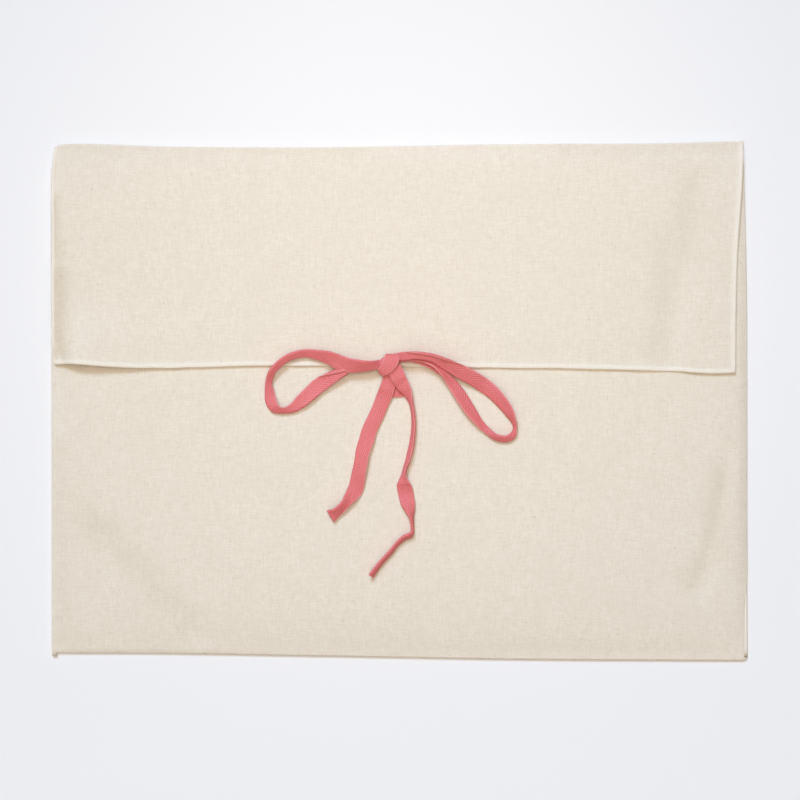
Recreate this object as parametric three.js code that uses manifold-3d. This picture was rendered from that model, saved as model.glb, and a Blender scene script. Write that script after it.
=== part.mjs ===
// Fabric envelope pouch: a flat calico envelope whose wide flap is tied down with a bow.
//
// Millimetres. +X runs across the pouch, +Y towards its top fold, +Z up out of its face.
// It lies on its back panel, with the origin under the middle of its box.
//
// The maker cuts three pieces, and each is one solid:
//   envelope   one strip of calico, folded twice: front panel, back panel and flap, with
//              both sides sewn, so the pocket is open along its mouth, under the flap
//   tie_flap   twill tape sewn to the flap's edge: the left loop and the left tail
//   tie_front  twill tape sewn to the front panel: the knot's band, right loop and right tail

import * as THREE from 'three';
import { mergeVertices } from 'three/addons/utils/BufferGeometryUtils.js';
import Module from 'manifold-3d';

const wasm = await Module();
wasm.setup();

// ---------------------------------------------------------------- driving dimensions

const CLOTH = 1.0; // calico sheet
const LAYER_GAP = 0.6; // air between two layers of the folded cloth
const SEAM_WIDTH = 3.0; // turned-in allowance that joins front and back at each side
const SEAM_INSET = 0.25; // the allowance lies this far inside the cloth's edge
const HEM_WIDTH = 3.0; // rolled rim along the flap's free edges
const HEM_EXTRA = 0.7; // how much the rim is thicker than the cloth
const MOUTH_BELOW_FOLD = 14; // from the top fold down to the pocket's mouth, under the flap
const CROWN = 1.2; // how far the empty front swells at its middle
const FLAT_WIDTH = 444; // between the rims, where the swell dies out
const FLAT_HEIGHT = 326;

const TAPE_WIDTH = 10; // cotton twill tape
const TAPE = 1.0; // its thickness
const CLEARANCE = 0.4; // between the tape and the cloth that it lies on
const STEPS_PER_ROW = 3;

// Edges of the pouch as it lies: nearly a rectangle, a little bowed and out of square.
const TOP_FOLD = [
  { x: -226, y: 165.6 },
  { x: -210, y: 166.6 },
  { x: -155, y: 165.0 },
  { x: -70, y: 164.2 },
  { x: 78, y: 166.5 },
  { x: 164, y: 166.9 },
  { x: 224, y: 168.5 },
];
const BOTTOM_FOLD = [
  { x: -226, y: -162.6 },
  { x: -155, y: -162.8 },
  { x: -70, y: -164.2 },
  { x: 78, y: -166.7 },
  { x: 226, y: -167.6 },
];
const LEFT_EDGE = [
  { y: -165, x: -224.8 },
  { y: 0, x: -224.9 },
  { y: 168, x: -225.3 },
];
const RIGHT_EDGE = [
  { y: -168, x: 225.4 },
  { y: -78, x: 224.9 },
  { y: 67, x: 224.5 },
  { y: 169, x: 222.3 },
];
// The flap is slightly narrower than the pouch towards its free edge.
const FLAP_LEFT = [
  { y: 18, x: -222.8 },
  { y: 100, x: -224.6 },
  { y: 168, x: -225.3 },
];
const FLAP_RIGHT = [
  { y: 18, x: 217.2 },
  { y: 95, x: 218.9 },
  { y: 144, x: 221.4 },
  { y: 169, x: 222.3 },
];
// The flap's free edge waves, and lifts off the front near its left corner.
const FLAP_EDGE = [
  { x: -226, y: 23.2, lift: 0.4 },
  { x: -207, y: 23.6, lift: 2.6 },
  { x: -193, y: 22.7, lift: 3.6 },
  { x: -163, y: 21.2, lift: 1.8 },
  { x: -135, y: 21.5, lift: 0.5 },
  { x: -94, y: 22.7, lift: 0.2 },
  { x: 51, y: 21.6, lift: 0.0 },
  { x: 118, y: 20.7, lift: 0.1 },
  { x: 180, y: 19.0, lift: 0.0 },
  { x: 203, y: 17.8, lift: 0.4 },
  { x: 226, y: 18.6, lift: 0.2 },
];
const LIFT_REACH = 45; // how far up the flap the lift fades out
const FLAP_FREE_WIDTH = 439; // along the flap's free edge

// Soft creases: a trough (negative rise) or ridge along a line from (x1, y1) to (x2, y2).
const DEEPEST_CREASE = -0.5;
const FRONT_CREASES = [
  { x1: -211, y1: -66, x2: -186, y2: -88, rise: -0.5, spread: 7 },
  { x1: -186, y1: -88, x2: -128, y2: -154, rise: -0.5, spread: 9 },
  { x1: 214, y1: -34, x2: 197, y2: -122, rise: -0.5, spread: 5 },
];
const FLAP_CREASES = [
  { x1: 192, y1: 140, x2: 172, y2: 26, rise: -0.5, spread: 9 },
  { x1: -214, y1: 150, x2: -210, y2: 40, rise: -0.4, spread: 6 },
];

// How each tape lies. The rows follow the tape's middle line out from the knot. tilt turns the
// tape about that line, and is positive where its left edge, seen along the way, is the higher.
// lift is the height of its lower edge over the cloth, and width is less than the tape's own
// where the knot gathers it.
const LEFT_LOOP = [
  { x: -5.0, y: 24.0, tilt: 0, rise: 2.5, width: 5 },
  { x: -12.5, y: 23.6, tilt: -8, rise: 2.3, width: 6 },
  { x: -22.0, y: 23.3, tilt: -26, lift: 1.5, width: 8 },
  { x: -31.8, y: 23.6, tilt: -32, lift: 1.5 },
  { x: -38.3, y: 25.2, tilt: -27, lift: 1.5 },
  { x: -45.4, y: 28.1, tilt: -45, lift: 0.8 },
  { x: -52.5, y: 30.0, tilt: -56, lift: 0.2 },
  { x: -61.2, y: 31.3, tilt: -63, lift: 0 },
  { x: -72.8, y: 27.8, tilt: -67, lift: 0 },
  { x: -81.5, y: 20.0, tilt: -69, lift: 0 },
  { x: -84.1, y: 12.6, tilt: -70, lift: 0 },
  { x: -83.8, y: 6.8, tilt: -58, lift: 0 },
  { x: -82.5, y: 0.0, tilt: -48, lift: 0 },
  { x: -79.0, y: -4.8, tilt: -58, lift: 0 },
  { x: -74.1, y: -6.1, tilt: -65, lift: 0 },
  { x: -68.3, y: -3.4, tilt: -54, lift: 0 },
  { x: -63.1, y: 1.2, tilt: -36, lift: 0 },
  { x: -53.1, y: 10.0, tilt: -14, lift: 0 },
  { x: -47.3, y: 13.4, tilt: -14, lift: 0, width: 8.5 },
  { x: -40.9, y: 16.9, tilt: -10, lift: 0, width: 6 },
  { x: -33.0, y: 21.0, tilt: 0, lift: 0, width: 5 },
  { x: -22.0, y: 24.6, tilt: 0, lift: 0.3, width: 5 },
  { x: -12.0, y: 26.2, tilt: 0, rise: 1.6, width: 5 },
  { x: -5.4, y: 26.1, tilt: 0, rise: 2.6, width: 5 },
];
const LEFT_TAIL = [
  { x: -7.0, y: 25.0, tilt: 0, rise: 2.6, width: 6 },
  { x: -6.2, y: 20.5, tilt: 0, rise: 2.4, width: 6.6 },
  { x: -6.3, y: 15.8, tilt: 0, rise: 2.2, width: 7.0 },
  { x: -8.2, y: 8.7, tilt: 4, rise: 0.55 },
  { x: -9.9, y: 3.2, tilt: 7, lift: 0.5 },
  { x: -13.4, y: -6.1, tilt: 4, lift: 0 },
  { x: -19.4, y: -18.4, tilt: 6, lift: 0 },
  { x: -21.3, y: -24.9, tilt: 14, lift: 0 },
  { x: -24.1, y: -32.6, tilt: 30, lift: 0 },
  { x: -25.1, y: -39.1, tilt: 34, lift: 0 },
  { x: -26.5, y: -45.5, tilt: 32, lift: 0 },
  { x: -27.6, y: -51.7, tilt: 14, lift: 0 },
  { x: -29.3, y: -57.1, tilt: 0, lift: 0 },
  { x: -32.2, y: -62.5, tilt: 40, lift: 0 },
  { x: -35.1, y: -66.3, tilt: 64, lift: 0 },
  { x: -40.2, y: -70.1, tilt: 54, lift: 0 },
  { x: -45.3, y: -74.4, tilt: 26, lift: 0 },
];
// The flap's tape starts flat on the flap, under the knot, and rises into it.
const FLAP_TAB = [
  { x: -10.2, y: 19.4, tilt: 0, lift: 0, width: 4.6 },
  { x: -10.2, y: 23.4, tilt: 0, lift: 0, width: 4.6 },
  { x: -9.6, y: 26.0, tilt: 0, rise: 2.0, width: 4.6 },
  { x: -8.6, y: 27.0, tilt: 0, rise: 2.4, width: 4.6 },
];
const RIGHT_LOOP = [
  { x: -3.6, y: 28.6, tilt: 0, rise: 4.1, width: 4.5 },
  { x: -0.2, y: 28.7, tilt: 14, rise: 3.3, width: 5 },
  { x: 4.3, y: 29.4, tilt: 30, lift: 1.5, width: 6 },
  { x: 9.8, y: 29.8, tilt: 38, lift: 1.4, width: 6.5 },
  { x: 20.5, y: 28.4, tilt: 48, lift: 1.4, width: 7.5 },
  { x: 30.2, y: 23.6, tilt: 40, lift: 0.7 },
  { x: 42.2, y: 17.4, tilt: 24, lift: 0 },
  { x: 51.7, y: 12.5, tilt: 18, lift: 0 },
  { x: 59.2, y: 7.8, tilt: 33, lift: 0 },
  { x: 66.8, y: 0.3, tilt: 41, lift: 0 },
  { x: 72.1, y: -7.4, tilt: 57, lift: 0 },
  { x: 74.9, y: -14.6, tilt: 74, lift: 0 },
  { x: 74.6, y: -20.8, tilt: 74, lift: 0 },
  { x: 70.5, y: -23.4, tilt: 66, lift: 0 },
  { x: 63.4, y: -23.1, tilt: 62, lift: 0 },
  { x: 56.9, y: -19.7, tilt: 72, lift: 0 },
  { x: 52.9, y: -14.3, tilt: 67, lift: 0 },
  { x: 47.1, y: -7.0, tilt: 57, lift: 0 },
  { x: 40.5, y: 2.4, tilt: 51, lift: 0 },
  { x: 34.9, y: 10.5, tilt: 55, lift: 0 },
  { x: 30.6, y: 16.1, tilt: 60, lift: 0, width: 8 },
  { x: 26.9, y: 20.2, tilt: 55, lift: 0, width: 6 },
  { x: 22.4, y: 24.2, tilt: 30, lift: 0, width: 4.5 },
  { x: 14.0, y: 27.0, tilt: 0, lift: 0, width: 4 },
  { x: 5.0, y: 27.4, tilt: 0, lift: 0.3, width: 4 },
  { x: -0.8, y: 26.8, tilt: 0, rise: 1.7, width: 4 },
];
const RIGHT_TAIL = [
  { x: -5.2, y: 22.6, tilt: 0, rise: 4.4, width: 5.5 },
  { x: -2.0, y: 17.0, tilt: 0, rise: 4.0, width: 7.5 },
  { x: 0.6, y: 13.2, tilt: 4, rise: 3.5, width: 8.5 },
  { x: 3.0, y: 9.4, tilt: 28, lift: 2.2, width: 9 },
  { x: 5.0, y: 6.2, tilt: 50, lift: 1.4 },
  { x: 6.7, y: 2.4, tilt: 70, lift: 0.5 },
  { x: 8.4, y: -1.9, tilt: 77, lift: 0 },
  { x: 9.6, y: -8.0, tilt: 75, lift: 0 },
  { x: 9.8, y: -15.0, tilt: 72, lift: 0 },
  { x: 8.6, y: -25.0, tilt: 72, lift: 0 },
  { x: 7.3, y: -31.3, tilt: 69, lift: 0 },
  { x: 5.3, y: -38.0, tilt: 71, lift: 0 },
  { x: 2.8, y: -45.0, tilt: 76, lift: 0 },
  { x: 2.1, y: -49.0, tilt: 62, lift: 0 },
  { x: 2.5, y: -53.0, tilt: 44, lift: 0 },
  { x: 3.6, y: -57.3, tilt: 4, lift: 0 },
  { x: 4.4, y: -61.6, tilt: 0, lift: 0 },
  { x: 5.6, y: -67.5, tilt: -32, lift: 0 },
  { x: 7.6, y: -76.3, tilt: -72, lift: 0 },
  { x: 8.3, y: -82.5, tilt: -76, lift: 0 },
  { x: 7.2, y: -86.4, tilt: -70, lift: 0 },
  { x: 1.4, y: -89.1, tilt: -68, lift: 0 },
  { x: -6.7, y: -99.1, tilt: -66, lift: 0 },
  { x: -12.1, y: -105.2, tilt: -66, lift: 0 },
  { x: -18.0, y: -114.5, tilt: -68, lift: 0 },
];
// The front's tape: sewn down by its end, under the flap's edge, round the back of the knot
// and over it. rise is the height of its middle line over the knot's bed, the flap's rim.
const STUB_AND_BAND = [
  { x: 0.4, y: 3.0, rise: -1.45, width: 10 },
  { x: 0.2, y: 9.5, rise: -1.3, width: 10 },
  { x: -0.4, y: 15.0, rise: 0.3, width: 9 },
  { x: -1.4, y: 19.5, rise: 0.95, width: 8.5 },
  { x: -2.4, y: 24.0, rise: 1.0, width: 8 },
  { x: -3.6, y: 29.4, rise: 1.0, width: 8 },
  { x: -4.3, y: 31.4, rise: 2.5, width: 8.5 },
  { x: -4.8, y: 30.0, rise: 4.4, width: 9 },
  { x: -6.2, y: 25.6, rise: 4.9, width: 9 },
  { x: -8.4, y: 21.4, rise: 4.7, width: 8 },
  { x: -10.6, y: 18.9, rise: 4.2, width: 7 },
  { x: -12.6, y: 17.6, rise: 3.4, width: 6 },
  { x: -13.8, y: 17.4, rise: 2.2, width: 5.6 },
];
// Direction across the band, from its left edge to its right edge, as it crosses the knot.
const BAND_ACROSS_START = new THREE.Vector3(-1, 0, 0);
const BAND_ACROSS_END = new THREE.Vector3(-0.75, 0.6, 0);
const BAND_TURNS_FROM = 0.55; // share of the route where the band begins to slant

// ---------------------------------------------------------------- small helpers

const { lerp, clamp, degToRad, smoothstep } = THREE.MathUtils;

// A smooth function through a table's rows: the column `value` against the column `along`.
function through(rows, along, value) {
  const curve = new THREE.CatmullRomCurve3(rows.map((row) => new THREE.Vector3(row[along], row[value], 0)));
  const last = rows.length - 1;
  return (where) => {
    const inside = clamp(where, rows[0][along], rows[last][along]);
    let span = 0;
    while (span < last - 1 && inside > rows[span + 1][along]) span += 1;
    const share = (inside - rows[span][along]) / (rows[span + 1][along] - rows[span][along]);
    return curve.getPoint((span + share) / last).y;
  };
}

// Height that a table of creases adds at a point: a soft trough or ridge round each line.
function creaseRise(creases, x, y) {
  return creases.reduce((sum, crease) => {
    const start = new THREE.Vector2(crease.x1, crease.y1);
    const run = new THREE.Vector2(crease.x2, crease.y2).sub(start);
    const point = new THREE.Vector2(x, y).sub(start);
    const along = clamp(point.dot(run) / run.lengthSq(), 0, 1);
    const away = point.sub(run.multiplyScalar(along)).length() / crease.spread;
    return sum + crease.rise * Math.exp(-away * away);
  }, 0);
}

// A closed mesh from rings of points, each ring closed on itself, with flat caps at both ends.
function closedTube(rings) {
  const around = rings[0].length;
  const positions = rings.flat().flatMap((point) => [point.x, point.y, point.z]);
  const faces = [];
  for (let i = 0; i < rings.length - 1; i += 1) {
    for (let j = 0; j < around; j += 1) {
      const next = (j + 1) % around;
      const [a, b] = [i * around + j, i * around + next];
      faces.push(a, b, b + around, a, b + around, a + around);
    }
  }
  const lastRing = (rings.length - 1) * around;
  const half = around / 2;
  for (let j = 0; j < half - 1; j += 1) {
    const [near, far] = [j, around - 1 - j];
    faces.push(near, far, far - 1, near, far - 1, near + 1);
    faces.push(lastRing + near, lastRing + far - 1, lastRing + far);
    faces.push(lastRing + near, lastRing + near + 1, lastRing + far - 1);
  }
  const geometry = new THREE.BufferGeometry();
  geometry.setAttribute('position', new THREE.Float32BufferAttribute(positions, 3));
  geometry.setIndex(faces);
  return geometry;
}

// A solid for cutting and joining, turned so that its faces point out.
function solid(geometry) {
  const merged = mergeVertices(geometry);
  const triVerts = Uint32Array.from(merged.index.array);
  const make = () => new wasm.Manifold(new wasm.Mesh({
    numProp: 3,
    vertProperties: Float32Array.from(merged.attributes.position.array),
    triVerts,
  }));
  const first = make();
  if (first.volume() > 0) return first;
  for (let i = 0; i < triVerts.length; i += 3) {
    [triVerts[i], triVerts[i + 1]] = [triVerts[i + 1], triVerts[i]];
  }
  return make();
}

function geometryOf(manifold) {
  const mesh = manifold.getMesh();
  const geometry = new THREE.BufferGeometry();
  geometry.setAttribute('position', new THREE.Float32BufferAttribute(mesh.vertProperties, 3));
  geometry.setIndex(new THREE.Uint32BufferAttribute(mesh.triVerts, 1));
  geometry.computeVertexNormals();
  return geometry;
}

function join(geometries) {
  return geometryOf(geometries.map(solid).reduce((whole, piece) => whole.add(piece)));
}

// ---------------------------------------------------------------- the envelope

const topFoldAt = through(TOP_FOLD, 'x', 'y');
const bottomFoldAt = through(BOTTOM_FOLD, 'x', 'y');
const leftAt = through(LEFT_EDGE, 'y', 'x');
const rightAt = through(RIGHT_EDGE, 'y', 'x');
const flapLeftAt = through(FLAP_LEFT, 'y', 'x');
const flapRightAt = through(FLAP_RIGHT, 'y', 'x');
const flapEdgeAt = through(FLAP_EDGE, 'x', 'y');
const flapLiftAt = through(FLAP_EDGE, 'x', 'lift');

const BACK_MIDDLE = CLOTH / 2;
const FRONT_MIDDLE = BACK_MIDDLE + CLOTH + LAYER_GAP;
const FLAP_MIDDLE = FRONT_MIDDLE + CLOTH + LAYER_GAP;
const BOTTOM_RADIUS = (FRONT_MIDDLE - BACK_MIDDLE) / 2;
const TOP_RADIUS = (FLAP_MIDDLE - BACK_MIDDLE) / 2;

// Fineness of the faceted cloth.
const FLAP_ROWS = 9;
const BACK_ROWS = 12;
const FRONT_ROWS = 14;
const FOLD_STEPS = 6;
const SEAM_STATIONS = 12;

// The swell of the empty pouch, none at its sewn and folded edges.
function swell(x, y) {
  const across = Math.min(Math.abs(x) / (FLAT_WIDTH / 2), 1);
  const along = Math.min(Math.abs(y) / (FLAT_HEIGHT / 2), 1);
  return CROWN * (1 - across ** 4) * (1 - along ** 6);
}

// Creases die out at the side seams and at the folds.
function creased(creases, x, y) {
  const fromSide = smoothstep(FLAT_WIDTH / 2 - Math.abs(x), 0, 14);
  const fromFold = smoothstep(FLAT_HEIGHT / 2 - Math.abs(y), 0, 10);
  return fromSide * fromFold * Math.max(creaseRise(creases, x, y), DEEPEST_CREASE);
}

function frontHeight(x, y) {
  return FRONT_MIDDLE + swell(x, y) + creased(FRONT_CREASES, x, y);
}

function flapHeight(x, y) {
  const fromEdge = Math.max(y - flapEdgeAt(x), 0);
  const lift = flapLiftAt(x) * (1 - smoothstep(fromEdge, 0, LIFT_REACH));
  return FLAP_MIDDLE + swell(x, y) + lift + creased(FLAP_CREASES, x, y);
}

// Shares of the width at which the strip's columns stand, closer together at the rims.
function columnShares() {
  const columns = 24;
  const rims = [0, 0.8, 1.2, 2.7].map((step) => step * HEM_WIDTH / FLAT_WIDTH);
  const innermost = rims[rims.length - 1];
  const middle = [];
  for (let i = 1; i < columns; i += 1) middle.push(lerp(innermost, 1 - innermost, i / columns));
  return [...rims, ...middle, ...rims.map((share) => 1 - share).reverse()];
}

// Rows of evenly spaced stations from one y to another, the first one left out.
function evenRows(count, from, to) {
  return Array.from({ length: count }, (_, i) => lerp(from, to, (i + 1) / count));
}

// One column of the folded strip, from the flap's free edge to the pocket's mouth.
function stripColumn(share) {
  const roughX = lerp(-FLAT_WIDTH / 2, FLAT_WIDTH / 2, share);
  const top = topFoldAt(roughX);
  const free = flapEdgeAt(lerp(-FLAT_WIDTH / 2, FLAP_FREE_WIDTH - FLAT_WIDTH / 2, share));
  const topCentre = top - TOP_RADIUS - CLOTH / 2;
  const bottomCentre = bottomFoldAt(roughX) + BOTTOM_RADIUS + CLOTH / 2;
  const mouth = top - MOUTH_BELOW_FOLD;
  const fromSide = Math.min(share, 1 - share) * FLAT_WIDTH;
  const foldTurns = evenRows(FOLD_STEPS - 1, 0, Math.PI * (1 - 1 / FOLD_STEPS));

  const bodyPoint = (y, z) => new THREE.Vector3(lerp(leftAt(y), rightAt(y), share), y, z);
  const flapRow = (y) => {
    const x = lerp(flapLeftAt(y), flapRightAt(y), share);
    const inRim = Math.min(fromSide, y - free) < HEM_WIDTH;
    return { point: new THREE.Vector3(x, y, flapHeight(x, y)), extra: inRim ? HEM_EXTRA : 0 };
  };
  const topFoldRow = (turn) => ({
    point: bodyPoint(
      topCentre + Math.sin(turn) * TOP_RADIUS,
      BACK_MIDDLE + TOP_RADIUS * (1 + Math.cos(turn)),
    ),
    extra: 0,
  });
  const backRow = (y) => ({ point: bodyPoint(y, BACK_MIDDLE), extra: 0 });
  const bottomFoldRow = (turn) => ({
    point: bodyPoint(
      bottomCentre - Math.sin(turn) * BOTTOM_RADIUS,
      BACK_MIDDLE + BOTTOM_RADIUS * (1 - Math.cos(turn)),
    ),
    extra: 0,
  });
  const frontRow = (y) => ({ point: bodyPoint(y, frontHeight(bodyPoint(y, 0).x, y)), extra: 0 });

  const rimRows = [0, 0.8, 1.2, 3].map((step) => free + step * HEM_WIDTH);
  return [
    ...rimRows.map(flapRow),
    ...evenRows(FLAP_ROWS, rimRows[rimRows.length - 1], topCentre).map(flapRow),
    ...foldTurns.map(topFoldRow),
    backRow(topCentre),
    ...evenRows(BACK_ROWS, topCentre, bottomCentre).map(backRow),
    ...foldTurns.map(bottomFoldRow),
    frontRow(bottomCentre),
    ...evenRows(FRONT_ROWS, bottomCentre, mouth).map(frontRow),
  ];
}

// The folded strip as one closed sheet: each column becomes a ring round the cloth's section.
function foldedStrip() {
  const columns = columnShares().map(stripColumn);
  const normalAt = (i, j) => {
    const across = new THREE.Vector3().subVectors(
      columns[Math.min(i + 1, columns.length - 1)][j].point,
      columns[Math.max(i - 1, 0)][j].point,
    );
    const down = new THREE.Vector3().subVectors(
      columns[i][Math.min(j + 1, columns[i].length - 1)].point,
      columns[i][Math.max(j - 1, 0)].point,
    );
    return across.cross(down).normalize();
  };
  const rings = columns.map((column, i) => {
    const normals = column.map((row, j) => normalAt(i, j));
    const offset = (row, j, distance) => row.point.clone().addScaledVector(normals[j], distance);
    const outer = column.map((row, j) => offset(row, j, CLOTH / 2 + row.extra));
    const inner = column.map((row, j) => offset(row, j, -CLOTH / 2));
    return [...outer, ...inner.reverse()];
  });
  return closedTube(rings);
}

// The turned-in allowance along one side, which closes the pocket there.
function sideSeam(edgeAt, inward) {
  const low = BACK_MIDDLE - CLOTH / 4;
  const high = FRONT_MIDDLE + CLOTH / 4;
  const start = bottomFoldAt(edgeAt(0)) + BOTTOM_RADIUS;
  const end = Math.min(...TOP_FOLD.map((row) => row.y)) - MOUTH_BELOW_FOLD - 1;
  const rings = [];
  for (let i = 0; i <= SEAM_STATIONS; i += 1) {
    const y = lerp(start, end, i / SEAM_STATIONS);
    const outside = edgeAt(y) + inward * SEAM_INSET;
    const inside = edgeAt(y) + inward * SEAM_WIDTH;
    rings.push([
      new THREE.Vector3(outside, y, low),
      new THREE.Vector3(outside, y, high),
      new THREE.Vector3(inside, y, high),
      new THREE.Vector3(inside, y, low),
    ]);
  }
  return closedTube(rings);
}

function envelope() {
  return join([foldedStrip(), sideSeam(leftAt, 1), sideSeam(rightAt, -1)]);
}

// ---------------------------------------------------------------- the tapes

// Top of the cloth at a point, eased up to the flap before the step at its free edge.
function clothTop(x, y) {
  const front = frontHeight(x, y) + CLOTH / 2;
  const flap = flapHeight(x, Math.max(y, flapEdgeAt(x))) + CLOTH / 2;
  const fromEdge = y - flapEdgeAt(x);
  const rim = HEM_EXTRA * (1 - smoothstep(fromEdge, HEM_WIDTH, HEM_WIDTH + 5));
  return lerp(front, flap + rim, smoothstep(fromEdge, -8, -1));
}

// The highest cloth under a tape's width, where its lower edge comes to rest.
function restingHeight(x, y, reach) {
  const heights = [clothTop(x, y)];
  const bearings = 8;
  for (let i = 0; i < bearings; i += 1) {
    const turn = i * 2 * Math.PI / bearings;
    heights.push(clothTop(x + reach * Math.cos(turn), y + reach * Math.sin(turn)));
  }
  return Math.max(...heights);
}

const KNOT_BED = clothTop(-6, 24);

// Height of a tape's middle line over its lower edge.
function halfHeight(width, tilt) {
  return width / 2 * Math.abs(Math.sin(tilt)) + TAPE / 2 * Math.abs(Math.cos(tilt));
}

// How far a row holds its tape's lower edge over the cloth, worked out from its rise in the knot.
function liftOf(row) {
  if (row.rise === undefined) return row.lift;
  const tilt = degToRad(row.tilt ?? 0);
  const width = row.width ?? TAPE_WIDTH;
  const lower = KNOT_BED + row.rise - halfHeight(width, tilt);
  return lower - CLEARANCE - restingHeight(row.x, row.y, width / 2 * Math.cos(tilt));
}

// A strip of tape through a table's rows. Where `across` is given, it says which way the tape's
// width lies at each share of the route; otherwise the width lies level, turned by the row's tilt.
function tape(rows, across) {
  const route = new THREE.CatmullRomCurve3(
    rows.map((row) => new THREE.Vector3(row.x, row.y, liftOf(row))),
    false,
    'centripetal',
  );
  const turns = new THREE.CatmullRomCurve3(
    rows.map((row) => new THREE.Vector3(degToRad(row.tilt ?? 0), row.width ?? TAPE_WIDTH, 0)),
  );
  const steps = (rows.length - 1) * STEPS_PER_ROW;
  const stations = [];
  for (let i = 0; i <= steps; i += 1) {
    const { x, y, z: lift } = route.getPoint(i / steps);
    const { x: tilt, y: width } = turns.getPoint(i / steps);
    const rest = restingHeight(x, y, width / 2 * Math.cos(tilt));
    const z = rest + CLEARANCE + Math.max(lift, 0) + halfHeight(width, tilt);
    stations.push({ share: i / steps, middle: new THREE.Vector3(x, y, z), tilt, width });
  }
  const up = new THREE.Vector3(0, 0, 1);
  const rings = stations.map(({ share, middle, tilt, width }, i) => {
    const ahead = stations[Math.min(i + 1, steps)].middle;
    const behind = stations[Math.max(i - 1, 0)].middle;
    const forward = new THREE.Vector3().subVectors(ahead, behind).normalize();
    const side = across ? across(share) : up.clone().cross(forward);
    side.addScaledVector(forward, -side.dot(forward)).normalize();
    if (!across) side.applyAxisAngle(forward, tilt);
    const face = new THREE.Vector3().crossVectors(forward, side);
    const corner = (toSide, toFace) => middle.clone()
      .addScaledVector(side, toSide * width / 2)
      .addScaledVector(face, toFace * TAPE / 2);
    return [corner(-1, -1), corner(1, -1), corner(1, 1), corner(-1, 1)];
  });
  return closedTube(rings);
}

function tieFlap() {
  return join([tape(FLAP_TAB), tape(LEFT_LOOP), tape(LEFT_TAIL)]);
}

function bandAcross(share) {
  return BAND_ACROSS_START.clone().lerp(BAND_ACROSS_END, smoothstep(share, BAND_TURNS_FROM, 1));
}

function tieFront() {
  return join([tape(STUB_AND_BAND, bandAcross), tape(RIGHT_LOOP), tape(RIGHT_TAIL)]);
}

// ---------------------------------------------------------------- the part

const calico = new THREE.MeshStandardMaterial({ color: 0xe8dece, roughness: 0.95, metalness: 0 });
const twill = new THREE.MeshStandardMaterial({ color: 0xdf6f76, roughness: 0.85, metalness: 0 });

const group = new THREE.Group();
for (const [name, geometry, material] of [
  ['envelope', envelope(), calico],
  ['tie_flap', tieFlap(), twill],
  ['tie_front', tieFront(), twill],
]) {
  const mesh = new THREE.Mesh(geometry, material.clone());
  mesh.name = name;
  group.add(mesh);
}

// The origin lies under the middle of the pouch's box.
const box = new THREE.Box3().setFromObject(group);
const middle = box.getCenter(new THREE.Vector3());
group.position.set(-middle.x, -middle.y, -box.min.z);

export default group;
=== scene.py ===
"""Fabric envelope pouch: a flat calico envelope whose wide flap is tied down with a bow.

It lies on its back panel. The tables are in millimetres: x runs across the pouch, y towards its
top fold and z up out of its face. Meshes are made in metres.
"""

import math
from collections import namedtuple

import bpy
import numpy as np
from bpy.props import FloatProperty, FloatVectorProperty, PointerProperty
from bpy.types import Operator, Panel, PropertyGroup
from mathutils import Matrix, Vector


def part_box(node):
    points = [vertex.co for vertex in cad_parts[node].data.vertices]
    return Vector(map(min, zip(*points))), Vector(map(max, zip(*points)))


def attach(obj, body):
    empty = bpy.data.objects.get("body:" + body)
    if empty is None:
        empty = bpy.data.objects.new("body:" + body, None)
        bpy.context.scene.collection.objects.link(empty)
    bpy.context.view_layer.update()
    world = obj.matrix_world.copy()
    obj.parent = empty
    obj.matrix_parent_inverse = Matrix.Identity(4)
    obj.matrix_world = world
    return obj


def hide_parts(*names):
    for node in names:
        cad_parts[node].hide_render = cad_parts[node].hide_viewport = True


bl_info = {
    "name": "Fabric Envelope Pouch",
    "version": (1, 0, 0),
    "blender": (4, 5, 0),
    "location": "3D View > Sidebar > Pouch",
    "description": "A calico envelope pouch whose flap is tied down with a bow of twill tape",
    "category": "Add Mesh",
}

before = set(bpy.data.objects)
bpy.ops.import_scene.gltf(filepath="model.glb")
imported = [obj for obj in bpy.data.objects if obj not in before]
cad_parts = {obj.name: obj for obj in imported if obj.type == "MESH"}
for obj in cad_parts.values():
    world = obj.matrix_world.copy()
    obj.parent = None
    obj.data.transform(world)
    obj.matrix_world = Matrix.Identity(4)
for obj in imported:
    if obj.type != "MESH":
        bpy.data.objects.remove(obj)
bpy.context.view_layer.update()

MM = 0.001

# ---- the pouch's own sizes

CLOTH = 1.0  # calico sheet
LAYER_GAP = 0.6  # air between two layers of the folded cloth
SEAM_TOUCH = 0.08  # what is left of that air along a sewn side
SEAM_FLAT = 0.4  # width along the side that is pressed flat
SEAM_REACH = 7.0  # where the layers have come fully apart again
BACK_MIDDLE = CLOTH / 2
FRONT_MIDDLE = BACK_MIDDLE + CLOTH + LAYER_GAP
FLAP_MIDDLE = FRONT_MIDDLE + CLOTH + LAYER_GAP
HEM_WIDTH = 3.0  # rolled rim along the flap's free edges
LEFT_HEM_WIDTH = 2.1  # where it curls under at the left
HEM_EXTRA = 0.6  # how much the rim is thicker than the cloth
MOUTH_BELOW_FOLD = 14.0  # from the top fold down to the pocket's mouth, under the flap
CROWN = 1.6  # how far the empty front swells at its middle
SIDE_RISE = 2.4  # and how far it rises from the side seams
SIDE_REACH = 4.3  # over about this distance
SIDE_LINE = 224.6  # where that rise starts, to each side of the middle
FLAT_WIDTH = 444.0
FLAT_HEIGHT = 326.0
LIFT_REACH = 45.0  # how far up the flap the lift of its edge fades out
FLAP_FREE_WIDTH = 439.0  # along the flap's free edge
DEEPEST_CREASE = -1.5
FLAP_SINK = 0.5  # the flap lies lower along its sides
FLAP_SINK_REACH = 9.0
TAPE_WIDTH = 10.0
CLEARANCE = 0.4  # between the tape and the cloth that it lies on
KNOT_PLACE = (-6.0, 24.0)

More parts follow.
